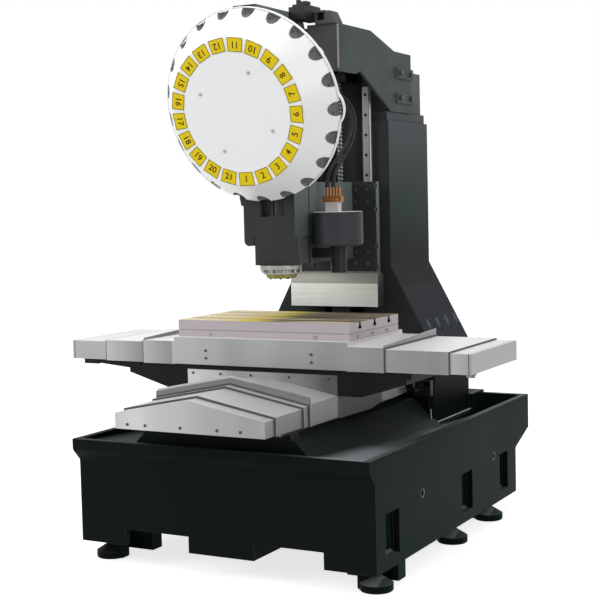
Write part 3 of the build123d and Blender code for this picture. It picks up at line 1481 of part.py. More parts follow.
def shell_side(inset):
    """Outer line of the turret shell as (radius, height), moved in by the wall."""
    return [
        (0, -inset),
        (DISC_R - inset * 0.4, -inset),
        (DISC_R + 6 - inset * 0.9, -4 - inset * 0.7),
        (FLANK_R - inset, -FLANK_DEPTH),
        (RIM_R - inset, -FLANK_DEPTH - 4),
        (RIM_R - inset, -TURRET_DEPTH),
    ]


def turret_shell():
    """Dished cover: flat disc, conical flank and rim, scalloped at every pocket."""
    outer = shell_side(0)
    inner = shell_side(SHELL_WALL)
    section = TURRET * (Plane.XZ * outline(outer + list(reversed(inner))))
    axis = Axis(TURRET.origin, TURRET.z_dir)
    body = revolve(section, axis)
    for i in range(POCKETS):
        angle = 360 / POCKETS * i - 90
        plane = TURRET.offset(-TURRET_DEPTH - 1)
        cut = plane * (Rot(0, 0, angle) * Pos(SCALLOP_CENTRE, 0) * Circle(SCALLOP_R))
        body -= extrude(cut, amount=TURRET_DEPTH - 20)
    for i in range(4):
        place = Rot(0, 0, 90 * i + 62) * Pos(FACE_SCREW_R, 0)
        body -= extrude(TURRET.offset(-SHELL_WALL - 1) * place * Circle(3.4), amount=SHELL_WALL + 2)
    return body


FACE_SCREW_R = 154.0


def number_plates():
    """Ring of plates on the disc, one at each pocket, a little narrower inwards."""
    plates = []
    half = PLATE_W / 2
    inner = half * PLATE_TAPER
    corners = [(PLATE_H / 2, half), (PLATE_H / 2, -half), (-PLATE_H / 2, -inner),
               (-PLATE_H / 2, inner)]
    face = outline(corners)
    face = fillet(face.vertices(), 5)
    for i in range(POCKETS):
        place = Rot(0, 0, 360 / POCKETS * i - 90) * Pos(PLATE_R, 0)
        plates.append(extrude(TURRET * (place * face), amount=PLATE_T))
    return plates


def face_screws():
    """Screws that hold the disc to the hub."""
    screws = []
    for i in range(4):
        place = Rot(0, 0, 90 * i + 62) * Pos(FACE_SCREW_R, 0)
        shank = extrude(TURRET.offset(-SHELL_WALL) * place * Circle(3.2), amount=SHELL_WALL)
        screws.append(shank + extrude(TURRET * place * Circle(6), amount=3))
    return screws


def turret_hub():
    """Hub and spider behind the disc, with the shaft into the swing arm."""
    front = -SHELL_WALL
    body = extrude(TURRET.offset(front - 14) * Circle(FACE_SCREW_R + 24), amount=14)
    body += extrude(TURRET.offset(-TURRET_DEPTH + 4) * Circle(HUB_R),
                    amount=TURRET_DEPTH - 18 + front)
    body += extrude(TURRET.offset(-TURRET_DEPTH - 60) * Circle(24), amount=70)
    body += extrude(TURRET.offset(-TURRET_DEPTH) * Circle(FINGER_R - 14), amount=SPIDER_T)
    return body


def grippers():
    """Spring fingers round the spider's edge, a pair open outwards at each pocket."""
    fingers = []
    base = [(-16, -21), (6, -21), (30, -20), (34, -15), (30, -11), (14, -13)]
    points = base + [(14, 13), (30, 11), (34, 15), (30, 20), (6, 21), (-16, 21)]
    face = outline(points)
    for i in range(POCKETS):
        place = Rot(0, 0, 360 / POCKETS * i - 90) * Pos(FINGER_R, 0)
        seat = TURRET.offset(SPIDER_T - TURRET_DEPTH)
        fingers.append(extrude(seat * (place * face), amount=FINGER_T))
    return fingers


def guard_band():
    """Thin band round the rim that keeps tools in, open at the foot, bulged at the right."""
    start = GUARD_OPEN - 90
    bulge = 360 / POCKETS * 5 - 90
    half = 8.5
    inner_r = GUARD_R
    outer_r = GUARD_R + GUARD_T
    plane = TURRET.offset(-TURRET_DEPTH)
    ring = Circle(outer_r) - Circle(inner_r)
    far = GUARD_R * 2
    side_x = far * math.cos(math.radians(start))
    side_y = far * math.sin(math.radians(start))
    gap = outline([(0, 0), (side_x, side_y), (0, -far * 1.5), (-side_x, side_y)])
    window = outline([(0, 0)] + [
        (far * math.cos(math.radians(bulge + k)), far * math.sin(math.radians(bulge + k)))
        for k in (-half, half)
    ])
    band = ring - gap - window
    chord = inner_r * math.sin(math.radians(half))
    sag = inner_r * math.cos(math.radians(half))
    lobe_out = ThreePointArc((sag + GUARD_T, -chord - 1), (inner_r + BULGE_RISE + GUARD_T, 0),
                             (sag + GUARD_T, chord + 1))
    lobe_in = ThreePointArc((sag, chord + 1), (inner_r + BULGE_RISE, 0), (sag, -chord - 1))
    ends = [Line(lobe_out @ 1, lobe_in @ 0), Line(lobe_in @ 1, lobe_out @ 0)]
    lobe = make_face(Wire([lobe_out, ends[0], lobe_in, ends[1]]))
    band += Rot(0, 0, bulge) * lobe
    body = extrude(plane.offset(-GUARD_SHIFT) * band, amount=GUARD_W + GUARD_SHIFT)
    rear = TURRET.offset(-TURRET_DEPTH - HUB_PLATE_GAP)
    for angle in (30, 90, 150):
        bar = Rot(0, 0, angle) * Pos((outer_r + HUB_R) / 2, 0) * Rectangle(outer_r - HUB_R, 22)
        body += extrude(rear * bar, amount=HUB_PLATE_GAP - GUARD_SHIFT)
    return body


# Fasteners on the sheet metal
def cover_screws():
    """Screws on the front cover's face."""
    z = RIDGE_Z + FRONT_COVER_FOOT + 17
    xs = (-245, -172, -30, 115, 205)
    return [bolt_head((x, COVER_FRONT_Y, z), (0, -1, 0), 5, GAP + 2.7) for x in xs]


def saddle_screws():
    """Screws along the saddle's front panel."""
    y = SADDLE_FRONT_Y - SHEET
    high = RIDGE_Z + PANEL_TOP - 14
    places = [(-290, high), (-170, high), (-40, high), (120, high), (280, high)]
    return [bolt_head((x, y, z), (0, -1, 0), 4.5, 3) for x, z in places]


def table_screws():
    """Screws in the table's ends and front, and in the skirt."""
    screws = []
    z = TABLE_UNDER_Z + TABLE_LOWER / 2 - 1
    for side in (-1, 1):
        for y in slot_ys():
            screws.append(bolt_head((side * TABLE_HALF, y - 20, z), (side, 0, 0), 6, 3))
    for x in (-TABLE_SCREW_X, TABLE_SCREW_X):
        screws.append(bolt_head((x, TABLE_FRONT_Y, z), (0, -1, 0), 7, 3))
        for drop in SKIRT_SCREW_DROPS:
            screws.append(bolt_head((x, TABLE_Y - SKIRT_REACH, TABLE_UNDER_Z - drop),
                                    (0, -1, 0), 5, 3))
    return screws


def cable_box():
    """Junction bracket on the pedestal's right front, with a cable gland held before it."""
    y1 = COLUMN_FRONT_Y
    z0 = RIDGE_Z + 15
    z1 = z0 + 62
    body = box(318, 352, y1 - 40, y1, z0, z1)
    body += box(352, 388, y1 - 32, y1 - 4, z0, z1)
    body -= box(358, 384, y1 - 33, y1 - 14, z1 - 24, z1 - 4)
    body += box(320, 352, y1 - 98, y1 - 40, z0 + 25, z0 + 31)
    body += box(314, 348, y1 - 98, y1 - 92, z0 + 25, z0 + 69)
    gland = rod(18, (331, y1 - 112, z0 + 50), (331, y1 - 98, z0 + 50))
    gland -= rod(9, (331, y1 - 113, z0 + 50), (331, y1 - 100, z0 + 50))
    return body + gland


def end_knob():
    """Support stub under the right outer cover's end."""
    x = X_OUT_RIGHT[1] - 22
    low = TABLE_UNDER_Z - X_COVER_FOOT + 4
    y = TABLE_Y - SKIRT_REACH + 2 * COVER_STEP + 50
    body = rod(8, (x - 14, y, low - 8), (x + 14, y, low - 8))
    return body + box(x - 10, X_OUT_RIGHT[1] - SHEET, y - 4, y + 4, low - 6, low + 20)


def build():
    """Writes every node."""
    os.makedirs("parts", exist_ok=True)
    keep("base_casting", base_casting())
    pads, studs = levelling_feet()
    keep("levelling_feet", *pads, *studs)
    keep("column", column())
    keep("frame_bolts", *anchor_bolts(), *arm_bolts())
    keep("y_rails", *y_rails())
    keep("y_screw", y_screw())
    keep("fixed_screw_bearings", *y_bearings(), *z_bearings())
    keep("fixed_motors", y_motor(), z_motor())
    keep("z_rails", *z_rails())
    keep("z_screw", z_screw())
    keep("cable_box", cable_box())
    keep("front_cover_1", front_fixed(), *cover_screws())
    keep("front_cover_2", front_second())
    keep("front_cover_3", front_third())
    first = COLUMN_FRONT_Y - REAR_LENGTH
    keep("rear_cover_1", rear_cover(0, first, REAR_LENGTH))
    keep("rear_cover_2", rear_cover(1, SADDLE_MID_Y + REAR_SECOND, REAR_LENGTH))
    keep("rear_cover_3", rear_cover(2, SADDLE_MID_Y + REAR_FIRST, REAR_LENGTH))
    keep("saddle_covers", front_fourth(), rear_cover(3, SADDLE_MID_Y, REAR_LENGTH))
    keep("saddle", saddle())
    keep("saddle_panels", *saddle_panels(), *saddle_screws())
    keep("y_carriages", *y_carriages())
    keep("y_nut", y_nut())
    keep("x_rails", *x_rails())
    keep("x_screw", x_screw())
    keep("x_bearings", *x_bearings())
    keep("x_motor", x_motor())
    right_outer = x_cover(1, *X_OUT_RIGHT, 2, close=True) + end_knob()
    keep("x_covers_outer", right_outer, x_cover(-1, *X_OUT_LEFT, 2, close=True))
    keep("x_cover_right_middle", x_cover(1, *X_MID_RIGHT, 1))
    keep("x_cover_left_middle", x_cover(-1, *X_MID_LEFT, 1))
    keep("table", table())
    keep("x_carriages", *x_carriages())
    keep("x_nut", x_nut())
    keep("table_skirts", *skirts(), *table_screws())
    keep("x_covers_inner", x_inner(1), x_inner(-1))
    keep("head_casting", head_casting())
    keep("cam_plate", cam_plate())
    keep("slide_bolts", *slide_bolts())
    keep("z_carriages", *z_carriages())
    keep("z_nut", z_nut())
    keep("spindle_nose", spindle_nose())
    keep("spindle", spindle())
    keep("spindle_motor", spindle_motor())
    keep("side_can", side_can())
    keep("valve_block", valve_block())
    keep("brass_fittings", *brass_fittings())
    keep("hoses", *hoses())
    keep("z_cover_1", z_cover_top())
    keep("z_cover_2", z_cover(1))
    keep("z_cover_3", z_cover(2))
    keep("z_cover_4", z_cover(3))
    keep("magazine_arm", magazine_arm(), arm_bracket())
    keep("pivot_pin", pivot_pin())
    keep("swing_arm", swing_arm())
    keep("turret_motor", turret_motor())
    keep("guard_band", guard_band())
    keep("turret_hub", turret_hub())
    keep("turret_shell", turret_shell())
    keep("number_plates", *number_plates())
    keep("face_screws", *face_screws())
    keep("tool_grippers", *grippers())


build()
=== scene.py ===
"""Finishes, small fittings, light and camera of a vertical machining centre.

Metres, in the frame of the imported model: X to the right, Y to the back, Z up.
"""
from __future__ import annotations

import logging
import math
from dataclasses import dataclass
from enum import Enum

import bpy
import numpy as np
from mathutils import Matrix, Vector

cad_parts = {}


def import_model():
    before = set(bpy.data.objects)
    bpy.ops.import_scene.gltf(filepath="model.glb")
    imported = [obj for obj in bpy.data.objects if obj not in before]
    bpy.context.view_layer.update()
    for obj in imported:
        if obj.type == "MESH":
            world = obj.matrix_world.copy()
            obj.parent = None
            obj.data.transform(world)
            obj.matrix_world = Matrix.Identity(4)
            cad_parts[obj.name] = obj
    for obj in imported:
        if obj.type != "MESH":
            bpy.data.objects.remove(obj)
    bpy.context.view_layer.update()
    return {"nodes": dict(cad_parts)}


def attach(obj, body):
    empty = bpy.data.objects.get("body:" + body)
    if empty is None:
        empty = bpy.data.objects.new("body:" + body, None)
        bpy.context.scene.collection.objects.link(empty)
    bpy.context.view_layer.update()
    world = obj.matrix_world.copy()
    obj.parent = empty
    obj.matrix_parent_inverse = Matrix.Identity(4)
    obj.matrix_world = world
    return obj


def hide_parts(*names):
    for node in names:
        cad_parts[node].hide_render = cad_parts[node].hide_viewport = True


LOG = logging.getLogger("machining_centre")
MM = 0.001
Socket = bpy.types.NodeSocket
Point = tuple[float, float, float]
Outline = list[tuple[float, float]]
Stops = tuple[tuple[float, str], ...]
# Ranges of a noise, or of one part of a normal, over which a tone gives way to the next
CLOUD_RANGE = (0.35, 0.68)
STREAK_RANGE = (0.36, 0.56)
BRUSHED_RANGE = (0.55, 1.45)
EDGE_RANGE = (0.995, 0.93)
UPWARD_RANGE = (0.45, 0.9)
ASIDE_RANGE = (0.5, 0.8)
# Scales of drawn-out noises along X, Y and Z, in waves for each metre
SOFT_BANDS = (6.0, 6.0, 0.6)
GRINDING = (6.0, 620.0, 620.0)
OIL_STREAKS = (1.6, 22.0, 1.0)


class Axis(Enum):
    """A direction of the frame, as its place in a vector."""

    X = 0
    Y = 1
    Z = 2


def linear(hex_colour: str) -> tuple[float, float, float, float]:
    """Turns an sRGB hex colour into linear light.

    Args:
        hex_colour: Six hex digits after a hash sign.

    Returns:
        Red, green, blue and an alpha of one.
    """
    parts = [int(hex_colour[i : i + 2], 16) / 255 for i in (1, 3, 5)]
    light = [c / 12.92 if c <= 0.04045 else ((c + 0.055) / 1.055) ** 2.4 for c in parts]
    return (light[0], light[1], light[2], 1.0)


def add(
    tree: bpy.types.NodeTree,
    kind: str,
    links: dict[str | int, object] | None = None,
    **settings: object,
) -> bpy.types.Node:
    """Adds one node with its settings and inputs.

    Args:
        tree: The tree that takes the node.
        kind: The node's type name.
        links: For each input, the socket that feeds it, or its fixed value.
        settings: Properties of the node itself.

    Returns:
        The new node.
    """
    made = tree.nodes.new(kind)
    for key, value in settings.items():
        setattr(made, key, value)
    for place, source in (links or {}).items():
        if isinstance(source, Socket):
            tree.links.new(source, made.inputs[place])
        else:
            made.inputs[place].default_value = source
    return made


def drawn_out(line: float, run: float, along: Axis) -> tuple[float, ...]:
    """Scales of a noise of fine lines.

    Args:
        line: Width of a line in millimetres.
        run: Its length.
        along: The axis that it runs along.

    Returns:
        The scale along each axis.
    """
    return tuple(1 / ((run if axis is along else line) * MM) for axis in Axis)


@dataclass(frozen=True)
class Graph:
    """A tree of shader nodes, with a short method for each step that recurs.

    A material's graph also has its main shader and the object coordinates in metres.
    """

    tree: bpy.types.NodeTree
    surface: bpy.types.Node | None = None
    place: Socket | None = None

    def calc(self, operation: str, *values: Socket | float, **settings: object) -> Socket:
        """One step of arithmetic.

        Args:
            operation: The kind of step.
            values: Its inputs in order.
            settings: Properties of the node.

        Returns:
            The result.
        """
        links = dict(enumerate(values))
        return add(self.tree, "ShaderNodeMath", links, operation=operation, **settings).outputs[0]

    def mix(self, factor: Socket, first: Socket | str, second: Socket | str) -> Socket:
        """Blend of two colours.

        Args:
            factor: Nought for the first and one for the second.
            first: A colour, or its hex digits.
            second: The other colour.

        Returns:
            The blend.
        """
        tones = [linear(tone) if isinstance(tone, str) else tone for tone in (first, second)]
        links = {0: factor, 6: tones[0], 7: tones[1]}
        return add(self.tree, "ShaderNodeMix", links, data_type="RGBA").outputs[2]

    def span(
        self,
        value: Socket,
        low: float = 0.0,
        high: float = 1.0,
        to_low: float = 0.0,
        to_high: float = 1.0,
        **settings: object,
    ) -> Socket:
        """Moves a value from one range to another, and holds it at the ends.

        Args:
            value: The value.
            low: Start of its range.
            high: End of its range.
            to_low: Result at the start.
            to_high: Result at the end.
            settings: Properties of the node.

        Returns:
            The moved value.
        """
        links = {
            "Value": value, "From Min": low, "From Max": high, "To Min": to_low, "To Max": to_high
        }
        return add(self.tree, "ShaderNodeMapRange", links, **settings).outputs[0]

    def noise(
        self, scale: float = 1.0, detail: float = 2.0, stretch: tuple[float, ...] = ()
    ) -> Socket:
        """Smooth noise, drawn out where the stretch has a scale for each axis.

        Args:
            scale: Waves for each metre, on top of the stretch.
            detail: Octaves.
            stretch: Scale along each axis.

        Returns:
            The noise, from nought to one.
        """
        place = self.place
        if stretch:
            links = {"Vector": place, "Scale": stretch}
            place = add(self.tree, "ShaderNodeMapping", links).outputs[0]
        links = {"Vector": place, "Scale": scale, "Detail": detail}
        return add(self.tree, "ShaderNodeTexNoise", links).outputs["Fac"]

    def split(self, vector: Socket) -> list[Socket]:
        """The three coordinates of a vector.

        Args:
            vector: The vector.

        Returns:
            X, Y and Z.
        """
        return list(add(self.tree, "ShaderNodeSeparateXYZ", {"Vector": vector}).outputs)

    def where(self) -> list[Socket]:
        """The three object coordinates.

        Returns:
            X, Y and Z in metres.
        """
        return self.split(self.place)

    def facing(self) -> list[Socket]:
        """Where the face looks, without any rounding.

        Returns:
            X, Y and Z of its normal.
        """
        return self.split(add(self.tree, "ShaderNodeNewGeometry").outputs["Normal"])

    def length(self, across: Socket, along: Socket) -> Socket:
        """Distance on a plane from its two parts.

        Args:
            across: The first part.
            along: The second part.

        Returns:
            The root of the sum of their squares.
        """
        flat = add(self.tree, "ShaderNodeCombineXYZ", {0: across, 1: along}).outputs[0]
        made = add(self.tree, "ShaderNodeVectorMath", {0: flat}, operation="LENGTH")
        return made.outputs["Value"]

    def ramp(self, way: Socket, stops: tuple[tuple[float, str | float], ...]) -> Socket:
        """Colour that changes along a way, from one stop to the next.

        Args:
            way: The place along the way, in metres.
            stops: Places in millimetres, in order, each with its colour or its level of grey.

        Returns:
            The colour.
        """
        low, high = stops[0][0], stops[-1][0]
        level = self.span(way, low * MM, high * MM)
        made = add(self.tree, "ShaderNodeValToRGB", {0: level})
        marks = made.color_ramp.elements
        while len(marks) < len(stops):
            marks.new(0.5)
        for mark, (place, tone) in zip(marks, stops):
            mark.position = (place - low) / (high - low)
            mark.color = linear(tone) if isinstance(tone, str) else (tone, tone, tone, 1.0)
        return made.outputs[0]

    def bump(self, height: Socket, strength: float, distance: float, normal: Socket) -> Socket:
        """Normal of a face with a relief on it.

        Args:
            height: The relief, from nought to one.
            strength: How much of it shows.
            distance: Its depth in millimetres.
            normal: The face's own normal.

        Returns:
            The normal.
        """
        links = {
            "Height": height, "Strength": strength, "Distance": distance * MM, "Normal": normal
        }
        return add(self.tree, "ShaderNodeBump", links).outputs[0]

    def feed(self, node: bpy.types.Node, **sources: Socket) -> None:
        """Links sockets to the inputs of a node.

        Args:
            node: The node.
            sources: The socket for each input, by its name with underscores for spaces.
        """
        for name, source in sources.items():
            self.tree.links.new(source, node.inputs[name.replace("_", " ")])


# Finishes
@dataclass(frozen=True)
class Finish:
    """A surface finish, which makes its material once.

    Each field is a value of the real surface: its name, its two tones, how rough and how
    metallic it is, how much light its skin throws back, and the radius of its edges in
    millimetres.
    """

    name: str
    colour: str
    shade: str
    roughness: float
    metallic: float = 0.0
    specular: float = 0.4
    edge: float = 0.4

    def material(self) -> bpy.types.Material:
        """Builds the material, or gives the one that exists.

        Returns:
            The material with its nodes.
        """
        made = bpy.data.materials.get(self.name)
        if made is not None:
            return made
        made = bpy.data.materials.new(self.name)
        made.use_nodes = True
        made.diffuse_color = linear(self.colour)
        tree = made.node_tree
        tree.nodes.clear()
        surface = self.shader(tree, self.roughness, self.metallic, self.specular)
        add(tree, "ShaderNodeOutputMaterial", {"Surface": surface.outputs[0]})
        place = add(tree, "ShaderNodeTexCoord").outputs["Object"]
        self.dress(Graph(tree, surface, place))
        return made

    def shader(
        self, tree: bpy.types.NodeTree, roughness: float, metallic: float, specular: float
    ) -> bpy.types.Node:
        """A main shader in the finish's colour.

        Args:
            tree: The material's tree.
            roughness: How rough it is.
            metallic: How metallic it is.
            specular: How much light its skin throws back.

        Returns:
            The shader.
        """
        links = {
            "Base Color": linear(self.colour),
            "Roughness": roughness,
            "Metallic": metallic,
            "Specular IOR Level": specular,
        }
        return add(tree, "ShaderNodeBsdfPrincipled", links)

    def dress(self, graph: Graph) -> None:
        """Adds the detail of the real surface.

        Args:
            graph: The material's graph.
        """
        raise NotImplementedError

    def rounded(self, graph: Graph) -> Socket:
        """Normal that rounds sharp edges, as a brush of paint or a deburring tool does.

        Args:
            graph: The material's graph.

        Returns:
            The rounded normal.
        """
        bevel = add(graph.tree, "ShaderNodeBevel", {"Radius": self.edge * MM}, samples=4)
        return bevel.outputs["Normal"]

    def edge_mask(self, graph: Graph, normal: Socket) -> Socket:
        """One along the edges and nought on the faces: how far the rounded normal leans.

        Args:
            graph: The material's graph.
            normal: The rounded normal.

        Returns:
            The mask.
        """
        flat = add(graph.tree, "ShaderNodeNewGeometry").outputs["Normal"]
        links = {0: normal, 1: flat}
        lean = add(graph.tree, "ShaderNodeVectorMath", links, operation="DOT_PRODUCT")
        return graph.span(lean.outputs["Value"], *EDGE_RANGE)


@dataclass(frozen=True)
class Enamel(Finish):
    """Two-part enamel sprayed over filled cast iron: satin, faintly pebbled, pale at edges.

    The stops of front, heights and upper are painted light and shade: they tone its front
    faces by height, the faces that look right by height, and its tops from left to right, as
    the room lights them. Its paler edges are a painted highlight. A row of upright bores with
    bare walls has |x|, first y, pitch and radius.
    """

    # Colour of the edges, paler than the faces: a painted highlight
    edge_colour: str = "#000000"
    cloud_size: float = 300.0
    peel: float = 4.0
    peel_depth: float = 0.04
    front: Stops = ()
    heights: Stops = ()
    upper: Stops = ()
    bores: tuple[float, ...] = ()
    bare: str = "#636b72"

    def bored(self, graph: Graph, tone: Socket) -> Socket:
        """Bare walls of the bores, by the distance to the nearest bore's axis.

        Args:
            graph: The material's graph.
            tone: Colour of the painted faces.

        Returns:
            The colour with the bores' walls bare.
        """
        line, first, pitch, radius = self.bores
        x, y, _ = graph.where()
        across = graph.calc("SUBTRACT", graph.calc("ABSOLUTE", x), line * MM)
        shifted = graph.calc("SUBTRACT", y, first * MM)
        along = graph.calc("PINGPONG", shifted, pitch / 2 * MM)
        inside = graph.calc("LESS_THAN", graph.length(across, along), (radius + 0.4) * MM)
        return graph.mix(inside, tone, self.bare)

    def faced(self, graph: Graph, tone: Socket) -> Socket:
        """Tones of the faces that look right, to the front and up.

        Args:
            graph: The material's graph.
            tone: Colour of the other faces.

        Returns:
            The colour of every face.
        """
        x, _, z = graph.where()
        # Painted light and shade: faces that look right, to the front and up take their own tones
        for stops, way, axis, sign in (
            (self.heights, z, Axis.X, 1.0),
            (self.front, z, Axis.Y, -1.0),
            (self.upper, x, Axis.Z, 1.0),
        ):
            if stops:
                seen = graph.span(graph.facing()[axis.value], 0.6 * sign, 0.9 * sign)
                tone = graph.mix(seen, tone, graph.ramp(way, stops))
        return self.bored(graph, tone) if self.bores else tone

    def dress(self, graph: Graph) -> None:
        """Slow clouds of tone, uneven gloss, an orange peel and pale edges.

        Args:
            graph: The material's graph.
        """
        clouds = graph.noise(1 / (self.cloud_size * MM), 4.0)
        tone = graph.mix(graph.span(clouds, *CLOUD_RANGE), self.colour, self.shade)
        normal = self.rounded(graph)
        # The edges take the paler edge tone: a painted highlight
        edge_lit = graph.mix(
            self.edge_mask(graph, normal), self.faced(graph, tone), self.edge_colour
        )
        peel = graph.noise(1 / (self.peel * MM))
        graph.feed(
            graph.surface,
            Base_Color=edge_lit,
            Roughness=graph.span(
                clouds, to_low=self.roughness - 0.07, to_high=self.roughness + 0.09
            ),
            Normal=graph.bump(peel, self.peel_depth, 1.0, normal),
        )


@dataclass(frozen=True)
class BrushedSheet(Finish):
    """Stainless sheet brushed one way: fine lines that smear its highlights across them.

    Places and sizes are in millimetres. Sheets hold each sheet's left and right end, with
    its level of painted light there. The tones of the tops, the flanks and the shoulder are
    painted light and shade. Past foot it is painted shade, and past proud lie screw heads.
    """

    brush: Axis = Axis.X
    line: float = 1.6
    run: float = 260.0
    depth: float = 0.04
    top: str = "#dededd"
    left: float = -320.0
    right: float = 320.0
    foot: float = -1.0
    joints: tuple[float, ...] = ()
    joint_half: float = 1.4
    grain: float = 0.12
    proud: float = -2000.0
    flank: str = ""
    fade: float = 0.35
    sheets: tuple[tuple[float, float, float, float], ...] = ()
    shoulder: float = 9000.0
    shoulder_tone: str = ""
    dark: str = "#151615"
    screw: str = "#474848"

    def lengthwise(self, graph: Graph, x: Socket) -> Socket:
        """Painted light along each sheet: its tone changes from its left end to its right.

        Args:
            graph: The material's graph.
            x: The place along the sheets.

        Returns:
            The change of tone.
        """
        places = []
        for left, right, pale, dark in self.sheets:
            places += [(left + 0.5, pale), (right - 0.5, dark)]
        return graph.span(graph.ramp(x, tuple(places)), to_low=-self.fade, to_high=self.fade)

    def lit(self, graph: Graph, tone: Socket) -> Socket:
        """Painted light and shade on the tops, flanks and shoulder, dark joints and screw heads,
        and feet in painted shade.

        Args:
            graph: The material's graph.
            tone: Colour of the upright faces.

        Returns:
            The colour of every face.
        """
        x, y, z = graph.where()
        lean = graph.facing()
        upward = graph.span(lean[Axis.Z.value], *UPWARD_RANGE)
        colour = graph.mix(upward, tone, self.top)
        if self.shoulder_tone:
            leaning = graph.calc("GREATER_THAN", z, self.shoulder * MM)
            colour = graph.mix(leaning, colour, self.shoulder_tone)
        for joint in self.joints:
            near = graph.calc("COMPARE", x, joint * MM, self.joint_half * MM)
            colour = graph.mix(near, colour, self.dark)
        if self.flank:
            aside = graph.calc("ABSOLUTE", lean[Axis.X.value])
            colour = graph.mix(graph.span(aside, *ASIDE_RANGE), colour, self.flank)
        for way, limit, shown in ((z, self.foot, self.dark), (y, self.proud, self.screw)):
            colour = graph.mix(graph.calc("LESS_THAN", way, limit * MM), colour, shown)
        return colour

    def dress(self, graph: Graph) -> None:
        """Noise drawn out along the brushing, under soft upright bands, with painted light along X.

        Args:
            graph: The material's graph.
        """
        x = graph.where()[Axis.X.value]
        # Painted light: each sheet paler at one end and darker at the other
        if self.sheets:
            fade = self.lengthwise(graph, x)
        else:
            fade = graph.span(x, self.left * MM, self.right * MM, self.fade, -self.fade)
        lines = graph.noise(detail=3.0, stretch=drawn_out(self.line, self.run, self.brush))
        bands = graph.noise(detail=1.0, stretch=SOFT_BANDS)
        faint = graph.span(lines, to_low=0.5 - self.grain, to_high=0.5 + self.grain)
        level = graph.calc("ADD", graph.calc("ADD", faint, bands), fade)
        tone = graph.mix(graph.span(level, *BRUSHED_RANGE), self.shade, self.colour)
        graph.feed(
            graph.surface,
            Base_Color=self.lit(graph, tone),
            Roughness=graph.span(
                lines, to_low=self.roughness + 0.08, to_high=self.roughness - 0.08
            ),
            Normal=graph.bump(lines, self.depth, 0.3, self.rounded(graph)),
        )


@dataclass(frozen=True)
class GroundIron(Finish):
    """Ground grey iron under a film of rust-proofing oil, amber where it lies thick.

    Places and sizes are in millimetres: the upper face, the film's colours along X, which are
    partly painted reflection, the T-slots, and the faces past which lie screw heads.
    """

    film: Stops = ()
    # Colour where the film is thin: thin oil with painted glints
    thin_oil: str = "#000000"
    film_roughness: float = 0.7
    top: float = 876.0
    middle: float = -151.5
    slot_pitch: float = 125.0
    neck: float = 7.0
    tee: float = 12.5
    tee_low: float = 851.0
    tee_high: float = 862.0
    face: float = -362.0
    end: float = 360.6
    screw: str = "#3c3c3c"
    slot: str = "#35322f"

    def slots(self, graph: Graph, colour: Socket) -> Socket:
        """Dark screw heads, and shade in the T-slots, by the distance to a slot's middle.

        Args:
            graph: The material's graph.
            colour: Colour of the open faces.

        Returns:
            The colour with the slots dark.
        """
        x, y, z = graph.where()
        half = self.slot_pitch / 2 * MM
        shifted = graph.calc("SUBTRACT", y, self.middle * MM - half)
        gap = graph.calc("SUBTRACT", half, graph.calc("PINGPONG", shifted, half))
        forward = graph.calc("LESS_THAN", y, self.face * MM)
        outward = graph.calc("GREATER_THAN", graph.calc("ABSOLUTE", x), self.end * MM)
        colour = graph.mix(graph.calc("MAXIMUM", forward, outward), colour, self.screw)
        for width, low, high in (
            (self.neck, self.tee_high - 1.0, self.top - 0.5),
            (self.tee, self.tee_low - 0.5, self.tee_high),
        ):
            near = graph.calc("LESS_THAN", gap, (width + 0.2) * MM)
            level = graph.calc("COMPARE", z, (low + high) / 2 * MM, (high - low) / 2 * MM)
            colour = graph.mix(graph.calc("MULTIPLY", near, level), colour, self.slot)
        return colour

    def dress(self, graph: Graph) -> None:
        """Grinding lines along X everywhere; the upper face is a matt film of oil in streaks, its
        colours partly painted reflection and glints.

        Args:
            graph: The material's graph.
        """
        x, _, z = graph.where()
        lines = graph.noise(stretch=GRINDING)
        ground = graph.mix(lines, self.shade, self.colour)
        streaks = graph.noise(detail=3.0, stretch=OIL_STREAKS)
        thick = graph.span(streaks, *STREAK_RANGE)
        oiled = graph.mix(thick, self.thin_oil, graph.ramp(x, self.film))
        film = self.shader(graph.tree, self.film_roughness, 0.0, 0.0)
        graph.feed(film, Base_Color=oiled)
        up = graph.calc("GREATER_THAN", z, (self.top - 0.8) * MM)
        links = {0: up, 1: graph.surface.outputs[0], 2: film.outputs[0]}
        both = add(graph.tree, "ShaderNodeMixShader", links)
        graph.feed(graph.tree.nodes["Material Output"], Surface=both.outputs[0])
        graph.feed(
            graph.surface,
            Base_Color=self.slots(graph, ground),
            Normal=graph.bump(lines, 0.08, 0.2, self.rounded(graph)),
        )


@dataclass(frozen=True)
class Speckled(Finish):
    """A plain moulded, cast or oxidised surface with grain of one size in millimetres."""

    grain: float = 2.0
    depth: float = 0.05

    def dress(self, graph: Graph) -> None:
        """Grain in tone and height, with uneven gloss.

        Args:
            graph: The material's graph.
        """
        grain = graph.noise(1 / (self.grain * MM), 3.0)
        broad = graph.noise(14.0)
        graph.feed(
            graph.surface,
            Base_Color=graph.mix(grain, self.shade, self.colour),
            Roughness=graph.span(
                broad, to_low=self.roughness - 0.06, to_high=self.roughness + 0.08
            ),
            Normal=graph.bump(grain, self.depth, 0.5, self.rounded(graph)),
        )


